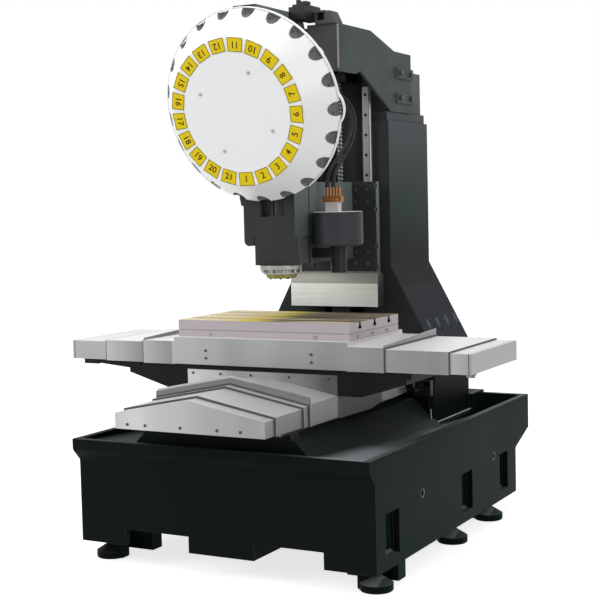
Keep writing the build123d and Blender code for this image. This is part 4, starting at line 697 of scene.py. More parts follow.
@dataclass(frozen=True)
class GuideRail(Finish):
    """Hardened rail, ground along its length, with a row of counterbored bolt holes.

    Sizes are in millimetres; lines are the rails' places on the axis across. The holes are
    painted dark: painted shade in place of the counterbores' depth.
    """

    run: Axis = Axis.Z
    start: float = 20.0
    lines: tuple[float, ...] = ()
    across: Axis = Axis.X
    pitch: float = 80.0
    bore: float = 7.0
    hole: str = "#1c1c1d"
    line: float = 1.2
    line_run: float = 150.0

    def dress(self, graph: Graph) -> None:
        """Grinding lines, and dark rounds where the distance to the nearest hole is small.

        Args:
            graph: The material's graph.
        """
        ground = graph.noise(stretch=drawn_out(self.line, self.line_run, self.run))
        axes = graph.where()
        shifted = graph.calc("SUBTRACT", axes[self.run.value], self.start * MM)
        folded = graph.calc("PINGPONG", shifted, self.pitch * MM / 2)
        nearest = None
        for line in self.lines:
            off = graph.calc("SUBTRACT", axes[self.across.value], line * MM)
            reach = graph.length(folded, off)
            nearest = reach if nearest is None else graph.calc("MINIMUM", nearest, reach)
        hole = graph.span(nearest, self.bore * MM, (self.bore - 1.0) * MM)
        graph.feed(
            graph.surface,
            Base_Color=graph.mix(hole, graph.mix(ground, self.shade, self.colour), self.hole),
            Normal=graph.bump(ground, 0.06, 0.2, self.rounded(graph)),
        )


@dataclass(frozen=True)
class BallScrew(Finish):
    """Ground ball screw: bright lands with dark round grooves that wind along it.

    The lead, the axis's place and the groove's depth are in millimetres. The grooves are
    painted dark: painted shade.
    """

    run: Axis = Axis.Z
    centre: tuple[float, float] = (0.0, 0.0)
    lead: float = 16.0
    depth: float = 0.9

    def dress(self, graph: Graph) -> None:
        """The groove is the sine of the place along the screw, plus the angle round it.

        Args:
            graph: The material's graph.
        """
        axes = graph.where()
        others = [axis for axis in Axis if axis is not self.run]
        first, second = (
            graph.calc("SUBTRACT", axes[axis.value], middle * MM)
            for axis, middle in zip(others, self.centre)
        )
        angle = graph.calc("ARCTAN2", second, first)
        turns = 2 * math.pi / (self.lead * MM)
        phase = graph.calc("MULTIPLY_ADD", axes[self.run.value], turns, angle)
        wave = graph.calc("SINE", phase)
        land = graph.span(wave, -0.5, 0.3, interpolation_type="SMOOTHSTEP")
        graph.feed(
            graph.surface,
            Base_Color=graph.mix(land, self.shade, self.colour),
            Normal=graph.bump(land, 0.8, self.depth, self.rounded(graph)),
        )


# Sprayed enamel on the base: near black with a green cast, satin. Its faces that look to the
# front, right and up carry painted light and shade, palest on the upward faces to the right
BASE_ENAMEL = Enamel(
    "base_enamel", "#090d0c", "#0e1615", 0.46, specular=0.025, edge=3.0,
    edge_colour="#3a4442", cloud_size=520.0, peel=5.0,
    front=((0, "#121716"), (470, "#121716")),
    heights=((0, "#0d1f1d"), (300, "#0c1c1a"), (440, "#091412"), (470, "#070d0c")),
    upper=((-600, "#262c2a"), (370, "#363e3c"), (450, "#757d7f"), (572, "#757d7f"),
           (576, "#454d4c"), (600, "#454d4c")),
)
# The same enamel on the column, which faces more light. Its faces that look right and to the
# front carry painted light and shade by height: bluish low down, near black above that, green,
# then grey
COLUMN_ENAMEL = Enamel(
    "column_enamel", "#171e1d", "#1f2a29", 0.48, specular=0.07, edge=3.0,
    edge_colour="#333d3b", cloud_size=380.0, peel=5.0,
    front=((680, "#323534"), (1950, "#323534")),
    heights=((680, "#10131a"), (860, "#13161e"), (955, "#12151c"), (966, "#030807"),
             (1100, "#050b09"), (1300, "#22332e"), (1600, "#4c5053"), (1950, "#6b7372")),
    bores=(345.0, 408.5, 97.0, 15.0),
)
# The fork arm has its own coat. Its faces that look to the front are painted lighter: painted
# light in the turret's shadow
ARM_ENAMEL = Enamel(
    "arm_enamel", "#3b403e", "#485852", 0.46, specular=0.12, edge=2.0,
    edge_colour="#525b58", cloud_size=260.0, front=((1700, "#565557"), (1965, "#565557")),
)
# Screws painted over with the castings
PAINTED_STEEL = Speckled(
    "painted_steel", "#4d5251", "#3f4443", 0.4, 0.2, edge=0.5, grain=3.0, depth=0.04
)
# Dressed weld, bare where the brush missed it
WELD_STEEL = Speckled("dressed_weld", "#adadae", "#77777a", 0.45, 0.4, grain=5.0, depth=0.3)
# Charcoal enamel on the head and arm, a neutral dark grey with low gloss. Its faces that look
# to the front and right carry painted light, paler higher up on the right
HEAD_ENAMEL = Enamel(
    "head_enamel", "#262827", "#2e3130", 0.5, specular=0.12, edge=2.0,
    edge_colour="#454947", cloud_size=260.0, peel_depth=0.05,
    front=((1075, "#323333"), (1385, "#323333")),
    heights=((1075, "#474b4a"), (1385, "#66716f")),
)
# The round housing is moulded, a little bluer than the casting. Its pipe, below 1140 mm, is
# painted dark as painted shade, and its top is painted near white, a painted light
CAN_ENAMEL = Enamel(
    "housing_enamel", "#2f3033", "#36373a", 0.45, specular=0.2, edge=3.0,
    edge_colour="#56585c", cloud_size=200.0, peel=3.0,
    front=((1000, "#101110"), (1140, "#101110"), (1142, "#313236"), (1300, "#313236")),
    heights=((1000, "#141514"), (1140, "#141514"), (1142, "#2f3033"), (1300, "#2f3033")),
    upper=((0, "#f0f0f3"), (400, "#f0f0f3")),
)
# Black enamel on the saddle, in the shade of the covers
SADDLE_ENAMEL = Enamel(
    "saddle_enamel", "#121414", "#171a1a", 0.5, specular=0.1, edge=2.0, edge_colour="#2a2d2d"
)
# The same enamel deep in blind holes, where no light falls
SHADE_ENAMEL = Enamel(
    "shade_enamel", "#060808", "#080a0a", 0.6, specular=0.02, edge=1.0, edge_colour="#101212"
)
# Pale joint sealant, squeezed from a tube and smoothed with a finger
SEALANT = Speckled(
    "joint_sealant", "#b9bdbb", "#a7aba9", 0.5, edge=0.3, grain=6.0, depth=0.04
)
# Polyester powder on the turret, cured to a hard white gloss
TURRET_WHITE = Enamel(
    "turret_powder", "#f2f3f4", "#f4f4f5", 0.3, edge=1.5, edge_colour="#f8f8f8",
    cloud_size=600.0, peel=6.0, peel_depth=0.02,
)
# Moulded grey cups behind the scallops
CUP_NYLON = Speckled(
    "cup_nylon", "#747575", "#666767", 0.55, specular=0.3, edge=0.8, grain=3.0, depth=0.03
)
# Aluminium number plates, their yellow ground, and the brown ink printed on it
PLATE_YELLOW = Speckled(
    "plate_yellow", "#ecd20a", "#dfc208", 0.5, specular=0.2, grain=9.0, depth=0.02
)
PLATE_INK = Speckled(
    "plate_ink", "#3f2c0a", "#352406", 0.6, specular=0.1, edge=0.2, grain=3.0, depth=0.02
)
PLATE_BORDER = Speckled(
    "plate_border", "#6f6b2a", "#635f22", 0.6, specular=0.1, edge=0.2, grain=3.0, depth=0.02
)
# Brushed stainless on the sliding X covers and the skirts. Painted light makes each sheet
# paler at its left end and its tops paler
COVER_STEEL = BrushedSheet(
    "cover_stainless", "#a9aaaa", "#7f8080", 0.46, 0.55, edge=0.8,
    top="#e2e2e1", proud=-394.0, fade=0.36,
    sheets=((-682.0, -504.0, 1.0, 0.0), (-504.0, -372.0, 1.0, 0.0), (-372.0, 378.0, 1.0, 0.0),
            (378.0, 504.0, 0.05, 0.0), (504.0, 742.0, 0.3, 0.1)),
)
# The fixed outer covers have a cap folded on, with a black joint round it. Painted light makes
# their tops paler and each sheet paler at its left end, and sets the tone of their end faces
CAPPED_STEEL = BrushedSheet(
    "capped_stainless", "#adaeae", "#8a8b8b", 0.46, 0.55, edge=0.8,
    top="#d9d9d8", joints=(813.0, -840.0), flank="#a4a4a4", fade=0.3,
    sheets=((-850.0, -682.0, 1.0, 0.2), (742.0, 823.0, 1.0, 0.0)),
)
# The gabled covers are brushed towards the column, and their screws are dark. Painted light
# makes them paler to the left and darker to the right, and below the foot they are in painted
# shade
GABLE_STEEL = BrushedSheet(
    "gable_stainless", "#bfc0c0", "#8a8b8b", 0.44, 0.55, edge=0.8,
    brush=Axis.Y, top="#c2c3c3", foot=541.0, proud=-868.0, fade=0.5,
)
# The Z covers are coarsely brushed, with a shoulder that leans out of the light. The shoulder,
# the faces that look up and the flanks are painted darker: painted shade
SHUTTER_STEEL = BrushedSheet(
    "shutter_stainless", "#e0e1de", "#bcbdb6", 0.42, 0.6, 0.5, 1.0,
    line=7.0, run=240.0, depth=0.05, top="#63645f", left=-260.0, right=260.0,
    flank="#3a3b3a", grain=0.4, fade=0.1, shoulder=977.0, shoulder_tone="#8b8c85",
)
# The saddle's panels are in the shade of the skirts, more so to the right
PANEL_STEEL = BrushedSheet(
    "panel_stainless", "#c4c5c5", "#585959", 0.5, 0.5, 0.3, 0.8,
    run=200.0, depth=0.05, top="#a8a8a8", proud=-378.0, fade=0.6,
)
# Folded edge of the inner covers, which catches the light under the table
FOLD_STEEL = BrushedSheet(
    "folded_stainless", "#c6c5c6", "#b4b3b4", 0.44, 0.45, edge=0.5,
    brush=Axis.Y, run=200.0, top="#f2f2f2", left=-700.0, right=850.0, flank="#bdbbbd",
)
# The table is ground all over, pinkish grey, and oiled on top: straw, yellow, then brown. The
# oil's colours are partly painted reflection, with painted glints where the film is thin
TABLE_IRON = GroundIron(
    "ground_table_iron", "#aca4a8", "#a0989c", 0.4, 0.3, edge=0.8,
    film=((-360.0, "#e4dab8"), (-160.0, "#dccb9c"), (-70.0, "#dac43e"), (-30.0, "#cdb84a"),
          (60.0, "#6f6854"), (360.0, "#736557")),
    thin_oil="#cbbfa9",
)
# Hardened rails, each with its row of bolt holes painted black: painted shade in the
# counterbores
Z_RAIL_STEEL = GuideRail(
    "rail_steel_z", "#a09c9d", "#85827f", 0.34, 0.6, 0.5, 0.6, Axis.Z, 930.0, (-126.0, 126.0)
)
Y_RAIL_STEEL = GuideRail(
    "rail_steel_y", "#8d8e90", "#77787b", 0.3, 0.9, 0.5, 0.6, Axis.Y, 20.0, (-220.0, 220.0)
)
X_RAIL_STEEL = GuideRail(
    "rail_steel_x", "#8d8e90", "#77787b", 0.3, 0.9, 0.5, 0.6, Axis.X, 20.0, (-282.5, -20.5),
    Axis.Y,
)
# Ball screws, one for each way: bright lands and grooves painted black as painted shade; the Z
# screw behind the head is painted duller, a painted shade
Z_SCREW_STEEL = BallScrew(
    "screw_steel_z", "#7d7e7e", "#3a3b3c", 0.36, 0.7, run=Axis.Z, centre=(0.0, 321.5)
)
Y_SCREW_STEEL = BallScrew(
    "screw_steel_y", "#a8a9a9", "#2a2b2c", 0.3, 0.7, 0.5, run=Axis.Y, centre=(0.0, 574.0)
)
X_SCREW_STEEL = BallScrew(
    "screw_steel_x", "#a8a9a9", "#2a2b2c", 0.3, 0.7, 0.5, run=Axis.X, centre=(-151.5, 735.0)
)
# Plain steel carriages, nuts and pins, a dull blue grey
CARRIAGE_STEEL = Speckled(
    "carriage_steel", "#6e7073", "#5c5e61", 0.4, 0.8, 0.5, 0.6, grain=4.0, depth=0.03
)
# Black oxide on bolts and motor housings, matt
BLACK_OXIDE = Speckled("black_oxide", "#232426", "#1a1b1d", 0.46, 0.4, edge=0.5, grain=3.0)
# Bright zinc on the small screw heads
BRIGHT_ZINC = Speckled("bright_zinc", "#a4a5a6", "#8b8c8d", 0.34, 0.9, 0.5, depth=0.04)
# Turned aluminium and nickel on the spindle's nose
NOSE_ALLOY = Speckled(
    "turned_alloy", "#a3a49f", "#84857c", 0.28, 0.9, 0.5, 0.8, grain=6.0, depth=0.06
)
# The bore of the spindle, in the shade of the nose
NOSE_SHADE = Speckled(
    "ground_bore", "#3b3c3a", "#2c2d2b", 0.35, 0.6, edge=0.6, grain=6.0, depth=0.04
)
# Yellow passivated ring under the nose
NOSE_RING = Speckled(
    "yellow_passivate", "#8c8443", "#6d6836", 0.32, 0.8, 0.5, 0.5, grain=4.0
)
# Warm reddish copper on the hose fittings
COPPER_FITTING = Speckled("copper_fitting", "#b07a4c", "#8d5a34", 0.34, 0.9, 0.5)
# Pinkish white nylon block under the fittings
WHITE_NYLON = Speckled(
    "white_nylon", "#d9d0cd", "#cbc1be", 0.55, edge=0.6, grain=3.0, depth=0.03
)
# Worn grey rubber on the covers' lips
LIP_RUBBER = Speckled("lip_rubber", "#515252", "#454646", 0.6, specular=0.3, edge=0.3, grain=1.5)
# Grey strip over the hood's edge: painted shade of the saddle flange's lower edge
LIP_SHADE = Speckled("grey_lip_shade", "#868686", "#727272", 0.7, specular=0.2, depth=0.1)
# Matt black rubber of the hoses
BLACK_RUBBER = Speckled(
    "nitrile_rubber", "#121313", "#0c0d0d", 0.6, specular=0.35, grain=1.5, depth=0.06
)

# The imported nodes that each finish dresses
DRESS: dict[Finish, tuple[str, ...]] = {
    BASE_ENAMEL: ("base_casting", "levelling_feet"),
    SADDLE_ENAMEL: ("saddle",),
    COLUMN_ENAMEL: ("column",),
    ARM_ENAMEL: ("magazine_arm",),
    HEAD_ENAMEL: ("cam_plate", "swing_arm"),
    CAN_ENAMEL: ("side_can",),
    TURRET_WHITE: ("turret_shell", "guard_band"),
    PLATE_YELLOW: ("number_plates",),
    COVER_STEEL: (
        "x_cover_left_middle", "x_cover_right_middle", "x_covers_inner", "table_skirts",
    ),
    CAPPED_STEEL: ("x_covers_outer",),
    GABLE_STEEL: (
        "front_cover_1", "front_cover_2", "front_cover_3", "saddle_covers",
        "rear_cover_1", "rear_cover_2", "rear_cover_3",
    ),
    PANEL_STEEL: ("saddle_panels",),
    SHUTTER_STEEL: ("z_cover_1", "z_cover_2", "z_cover_3", "z_cover_4"),
    TABLE_IRON: ("table",),
    Z_RAIL_STEEL: ("z_rails",),
    Y_RAIL_STEEL: ("y_rails",),
    X_RAIL_STEEL: ("x_rails",),
    CARRIAGE_STEEL: (
        "x_carriages", "y_carriages", "z_carriages", "x_nut", "y_nut", "z_nut",
        "turret_hub", "pivot_pin", "tool_grippers",
    ),
    Z_SCREW_STEEL: ("z_screw",),
    Y_SCREW_STEEL: ("y_screw",),
    X_SCREW_STEEL: ("x_screw",),
    BLACK_OXIDE: (
        "fixed_motors", "fixed_screw_bearings", "x_bearings", "x_motor", "spindle_motor",
        "turret_motor", "cable_box",
    ),
    PAINTED_STEEL: ("frame_bolts", "slide_bolts"),
    BRIGHT_ZINC: ("face_screws",),
    COPPER_FITTING: ("brass_fittings",),
    WHITE_NYLON: ("valve_block",),
}


def link(name: str, data: bpy.types.ID) -> bpy.types.Object:
    """Puts a new object into the scene.

    Args:
        name: The object's name.
        data: Its mesh, curve, lamp or camera.

    Returns:
        The object.
    """
    made = bpy.data.objects.new(name, data)
    bpy.context.scene.collection.objects.link(made)
    return made


# Surfaces
@dataclass
class Surface:
    """Corners and faces of closed surfaces, before they become a mesh."""

    corners: np.ndarray
    faces: list[tuple[int, ...]]

    def moved(self, matrix: Matrix) -> Surface:
        """The surface after a turn and a shift.

        Args:
            matrix: Four by four, as on the frame's bodies.

        Returns:
            The moved surface.
        """
        turn = np.array(matrix)[:3, :3]
        shift = np.array(matrix)[:3, 3]
        return Surface(self.corners @ turn.T + shift, self.faces)


def skin(rings: np.ndarray, looped: bool = False) -> Surface:
    """Skins a stack of rings: ring i, point j joins ring i + 1, point j + 1 in a quad.

    Args:
        rings: Points as (rings, points round, 3).
        looped: Whether the last ring joins the first, as in a hoop. Otherwise the two end
            rings are closed by one face each.

    Returns:
        The surface, its faces turned outwards by the sign of its volume.
    """
    count, around = rings.shape[:2]
    corners = rings.reshape(-1, 3)
    rows = np.arange(count if looped else count - 1)[:, None]
    cols = np.arange(around)[None, :]
    low = (rows % count) * around
    high = ((rows + 1) % count) * around
    turn = (cols + 1) % around
    quads = np.stack([low + cols, low + turn, high + turn, high + cols], axis=-1)
    quads = quads.reshape(-1, 4)
    a, b, c, d = (corners[quads[:, k]] for k in range(4))
    volume = np.einsum("ij,ij->", a, np.cross(b, c)) + np.einsum("ij,ij->", a, np.cross(c, d))
    faces = [tuple(q) for q in quads.tolist()]
    if not looped:
        for ring, sign in ((corners[:around], -1), (corners[-around:], 1)):
            middle = np.broadcast_to(ring.mean(0), ring.shape)
            volume += sign * np.einsum("ij,ij->", middle, np.cross(ring, np.roll(ring, -1, 0)))
        faces.append(tuple(reversed(range(around))))
        faces.append(tuple(range(len(corners) - around, len(corners))))
    if volume < 0:
        faces = [tuple(reversed(face)) for face in faces]
    return Surface(corners, faces)


def turned(
    profile: Outline, sides: int = 24, looped: bool = False
) -> Surface:
    """Turns a profile about Z: a point (r, z) becomes (r cos a, r sin a, z).

    Args:
        profile: Radius and height of each point in millimetres, from one end to the other.
        sides: Points round.
        looped: Whether the profile closes on itself, as a ring's section does.

    Returns:
        The turned surface.
    """
    points = np.array(profile, float) * MM
    angle = np.linspace(0, 2 * math.pi, sides, endpoint=False)
    rings = np.stack(
        [
            points[:, :1] * np.cos(angle),
            points[:, :1] * np.sin(angle),
            np.repeat(points[:, 1:], sides, axis=1),
        ],
        axis=-1,
    )
    return skin(rings, looped)


def prism(
    outline: Outline, low: float, high: float, along: Axis = Axis.Z
) -> Surface:
    """Carries a flat outline along one axis, from one place to another.

    Args:
        outline: Corners in millimetres, in the two other axes in their order.
        low: First place in millimetres.
        high: Second place in millimetres.
        along: The axis.

    Returns:
        The prism.
    """
    flat = np.array(outline, float)
    others = [axis.value for axis in Axis if axis is not along]
    rings = np.empty((2, len(flat), 3))
    rings[:, :, others] = flat
    rings[:, :, along.value] = np.array([low, high], float)[:, None]
    return skin(rings * MM)


def block(
    low: Point, high: Point, chamfer: float
) -> Surface:
    """A block with every edge chamfered: rings of eight points, inset at both ends.

    Args:
        low: Its lowest corner in millimetres.
        high: Its highest corner in millimetres.
        chamfer: Width of the chamfer.

    Returns:
        The block.
    """
    rings = []
    for z, inset in (
        (low[2], chamfer), (low[2] + chamfer, 0.0), (high[2] - chamfer, 0.0), (high[2], chamfer)
    ):
        left, right = low[0] + inset, high[0] - inset
        near, far = low[1] + inset, high[1] - inset
        rings.append(
            [
                (left + chamfer, near, z), (right - chamfer, near, z),
                (right, near + chamfer, z), (right, far - chamfer, z),
                (right - chamfer, far, z), (left + chamfer, far, z),
                (left, far - chamfer, z), (left, near + chamfer, z),
            ]
        )
    return skin(np.array(rings) * MM)


def merged(mesh: bpy.types.Mesh) -> Surface:
    """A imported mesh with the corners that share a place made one.

    Args:
        mesh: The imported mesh.

    Returns:
        Its surface.
    """
    flat = np.empty(len(mesh.vertices) * 3)
    mesh.vertices.foreach_get("co", flat)
    corners, same = np.unique(flat.reshape(-1, 3).round(6), axis=0, return_inverse=True)
    same = same.reshape(-1)
    rings = [tuple(dict.fromkeys(same[list(f.vertices)].tolist())) for f in mesh.polygons]
    return Surface(corners, [ring for ring in rings if len(ring) > 2])


def tube(
    path: np.ndarray, radius: np.ndarray | float, up: Point, sides: int = 12
) -> Surface:
    """Carries a circle along a path: p + r (cos a) u + r (sin a) v, square to its direction.

    Args:
        path: Points in metres.
        radius: One radius, or one for each point, in metres.
        up: A direction that the path never takes.
        sides: Points round.

    Returns:
        The tube.
    """
    along = np.gradient(path, axis=0)
    along /= np.linalg.norm(along, axis=1, keepdims=True)
    u = np.cross(along, np.array(up, float))
    u /= np.linalg.norm(u, axis=1, keepdims=True)
    v = np.cross(along, u)
    angle = np.linspace(0, 2 * math.pi, sides, endpoint=False)[None, :, None]
    size = np.broadcast_to(np.asarray(radius, float), (len(path),))[:, None, None]
    rings = path[:, None] + size * (np.cos(angle) * u[:, None] + np.sin(angle) * v[:, None])
    return skin(rings)


def aimed(place: Point, towards: Point) -> Matrix:
    """Place of a part made round Z that stands at a point and looks along a direction.

    Args:
        place: The point in millimetres.
        towards: The direction.

    Returns:
        Four by four from the part to the frame.
    """
    turn = Vector(towards).to_track_quat("Z", "Y").to_matrix().to_4x4()
    return Matrix.Translation(Vector(place) * MM) @ turn


def smooth_path(points: list[Point], count: int) -> np.ndarray:
    """Curve through a few points: between two of them, the cubic that keeps their slopes.

    Args:
        points: Points to pass, in millimetres.
        count: Points of the curve.

    Returns:
        The curve's points in metres.
    """
    knots = np.array(points, float) * MM
    slope = np.gradient(knots, axis=0)
    place = np.linspace(0, len(knots) - 1, count)
    i = np.minimum(place.astype(int), len(knots) - 2)
    t = (place - i)[:, None]
    return (
        (2 * t**3 - 3 * t**2 + 1) * knots[i]
        + (t**3 - 2 * t**2 + t) * slope[i]
        + (3 * t**2 - 2 * t**3) * knots[i + 1]
        + (t**3 - t**2) * slope[i + 1]
    )


def lettering(text: str, height: float, depth: float, weight: float = 0.0) -> Surface:
    """Characters as a thin solid in X and Y, centred on the origin.

    Args:
        text: The characters.
        height: Size of the type in millimetres.
        depth: Thickness in millimetres, from Z zero up.
        weight: How far each stroke is grown on either side, in millimetres.

    Returns:
        The characters' surface.
    """
    curve = bpy.data.curves.new("lettering", "FONT")
    curve.body = text
    curve.size = height * MM
    curve.extrude = depth * MM / 2
    curve.offset = weight * MM
    curve.align_x = "CENTER"
    curve.align_y = "CENTER"
    holder = link("lettering", curve)
    bpy.context.view_layer.update()
    mesh = bpy.data.meshes.new_from_object(
        holder.evaluated_get(bpy.context.evaluated_depsgraph_get())
    )
    corners = np.empty(len(mesh.vertices) * 3)
    mesh.vertices.foreach_get("co", corners)
    faces = [tuple(face.vertices) for face in mesh.polygons]
    bpy.data.objects.remove(holder)
    bpy.data.curves.remove(curve)
    bpy.data.meshes.remove(mesh)
    corners = corners.reshape(-1, 3)
    corners[:, 2] += depth * MM / 2
    return Surface(corners, faces)


def piece(
    name: str, surfaces: list[Surface], finish: Finish, body: str, crease: float = 35.0
) -> bpy.types.Object:
    """Joins surfaces into one mesh object that rides on a body.

    Args:
        name: The piece's name.
        surfaces: Its surfaces, in the frame.
        finish: Its finish.
        body: The body that carries it.
        crease: Angle in degrees past which an edge stays sharp.

    Returns:
        The object.
    """
    starts = np.cumsum([0] + [len(s.corners) for s in surfaces])
    corners = np.concatenate([s.corners for s in surfaces])
    faces = [
        tuple(i + int(start) for i in face)
        for s, start in zip(surfaces, starts)
        for face in s.faces
    ]
    mesh = bpy.data.meshes.new(name)
    mesh.from_pydata(corners.tolist(), [], faces)
    mesh.validate()
    mesh.polygons.foreach_set("use_smooth", [True] * len(mesh.polygons))
    mesh.set_sharp_from_angle(angle=math.radians(crease))
    mesh.materials.append(finish.material())
    made = link(name, mesh)
    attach(made, body)
    LOG.info("%s: %d faces on %s", name, len(faces), body)
    return made


def dress_nodes(nodes: dict[str, bpy.types.Object]) -> None:
    """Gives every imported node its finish.

    Args:
        nodes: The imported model's objects by name.
    """
    for finish, names in DRESS.items():
        for name in names:
            node = nodes[name]
            if not node.material_slots:
                node.data.materials.append(None)
            for slot in node.material_slots:
                slot.link = "OBJECT"
                slot.material = finish.material()
        LOG.info("%s on %s", finish.name, ", ".join(names))


# Sub-assemblies
@dataclass
class Turret:
    """Round tool turret: numbers and printed frames of its plates, and the cups behind it.

    Fields are in millimetres, apart from the tilt in degrees.
    """

    centre_y: float = -496.3
    centre_z: float = 1627.1
    tilt: float = 14.27
    pockets: int = 21
    plate_radius: float = 239.5
    plate_width: float = 62.0
    plate_height: float = 50.0
    plate_taper: float = 0.9
    plate_face: float = 1.2
    type_height: float = 33.0
    stroke: float = 0.45
    ink: float = 0.25
    border: float = 2.4
    disc_r: float = 262.0
    flank_r: float = 345.0
    flank_depth: float = 100.0
    depth: float = 118.0
    wall: float = 5.5
    scallop_r: float = 25.2
    scallop_centre: float = 346.0
    rim: float = 347.5
    cup_wall: float = 1.2

    def plane(self) -> Matrix:
        """Place of the turret's face: X right, Y up along the disc, Z out of it.

        Returns:
            Four by four from the face to the frame.
        """
        cos, sin = math.cos(math.radians(self.tilt)), math.sin(math.radians(self.tilt))
        return Matrix(
            (
                (1, 0, 0, 0),
                (0, -sin, -cos, self.centre_y * MM),
                (0, cos, -sin, self.centre_z * MM),
                (0, 0, 0, 1),
            )
        )

    def plate_place(self, number: int) -> Matrix:
        """Place of one number plate, the first at the foot and the next to its right.

        Args:
            number: The plate's number from one.

        Returns:
            Four by four from the plate to the frame.
        """
        turn = Matrix.Rotation((number - 1) * 2 * math.pi / self.pockets, 4, "Z")
        out = Matrix.Translation((0, -self.plate_radius * MM, self.plate_face * MM))
        return self.plane() @ turn @ out

    def numbers(self) -> None:
        """The numbers on the plates."""
        signs = [
            lettering(str(n), self.type_height, self.ink, self.stroke).moved(
                self.plate_place(n)
            )
            for n in range(1, self.pockets + 1)
        ]
        piece("plate_digits", signs, PLATE_INK, "turret")

    def frames(self) -> None:
        """A printed line round each plate: a thin bar carried round its four corners."""
        half_w = self.plate_width / 2
        half_h = self.plate_height / 2
        inner = half_w * self.plate_taper
        outer = np.array([(-half_w, -half_h), (half_w, -half_h), (inner, half_h), (-inner, half_h)])
        inset = outer * (1 - 2 * self.border / np.array([self.plate_width, self.plate_height]))
        rings = np.stack(
            [
                np.column_stack([line, np.full(4, z)])
                for line, z in ((outer, 0.0), (outer, self.ink), (inset, self.ink), (inset, 0.0))
            ],
            axis=1,
        )
        bar = skin(rings * MM, looped=True)
        signs = [bar.moved(self.plate_place(n)) for n in range(1, self.pockets + 1)]
        piece("plate_frames", signs, PLATE_BORDER, "turret")

    def cup(self, turn: float) -> Surface:
        """A half bowl behind one scallop.

        Round the scallop's centre, angle a runs from rim to rim on the side of the turret's
        axis, and b from the mouth to the pole: radius R cos b, and a depth that goes from
        the flank's inner face to the cup's floor by sin b. The wall is carried inside and out.

        Args:
            turn: Direction of the scallop on the face, in radians.

        Returns:
            The cup.
        """
        a = np.linspace(0.5 * math.pi, 1.5 * math.pi, 15)[:, None]
        b = np.concatenate([np.linspace(0, 1.45, 9), np.linspace(1.45, 0, 9)])[None, :]
        radius = np.repeat([self.scallop_r, self.scallop_r + self.cup_wall], 9)[None, :]
        mouth = self.scallop_centre + self.scallop_r * np.cos(a)
        slope = self.flank_depth / (self.flank_r - self.disc_r)
        start = -(mouth - self.disc_r) * slope - self.wall
        floor = -self.depth + np.repeat([self.cup_wall, 0.0], 9)[None, :]
        out = np.minimum(self.scallop_centre + radius * np.cos(b) * np.cos(a), self.rim)
        across = radius * np.cos(b) * np.sin(a)
        down = start + (floor - start) * np.sin(b)
        rings = np.stack([out, across, down], axis=-1) * MM
        spin = Matrix.Rotation(turn, 4, "Z")
        return skin(rings).moved(self.plane() @ spin)

    def cups(self) -> None:
        """The cups behind all the scallops."""
        turns = np.arange(self.pockets) * 2 * math.pi / self.pockets - math.pi / 2
        bowls = [self.cup(float(turn)) for turn in turns]
        piece("pocket_cups", bowls, CUP_NYLON, "turret")

    def build(self) -> None:
        """Builds every piece of the turret."""
        self.numbers()
        self.frames()
        self.cups()


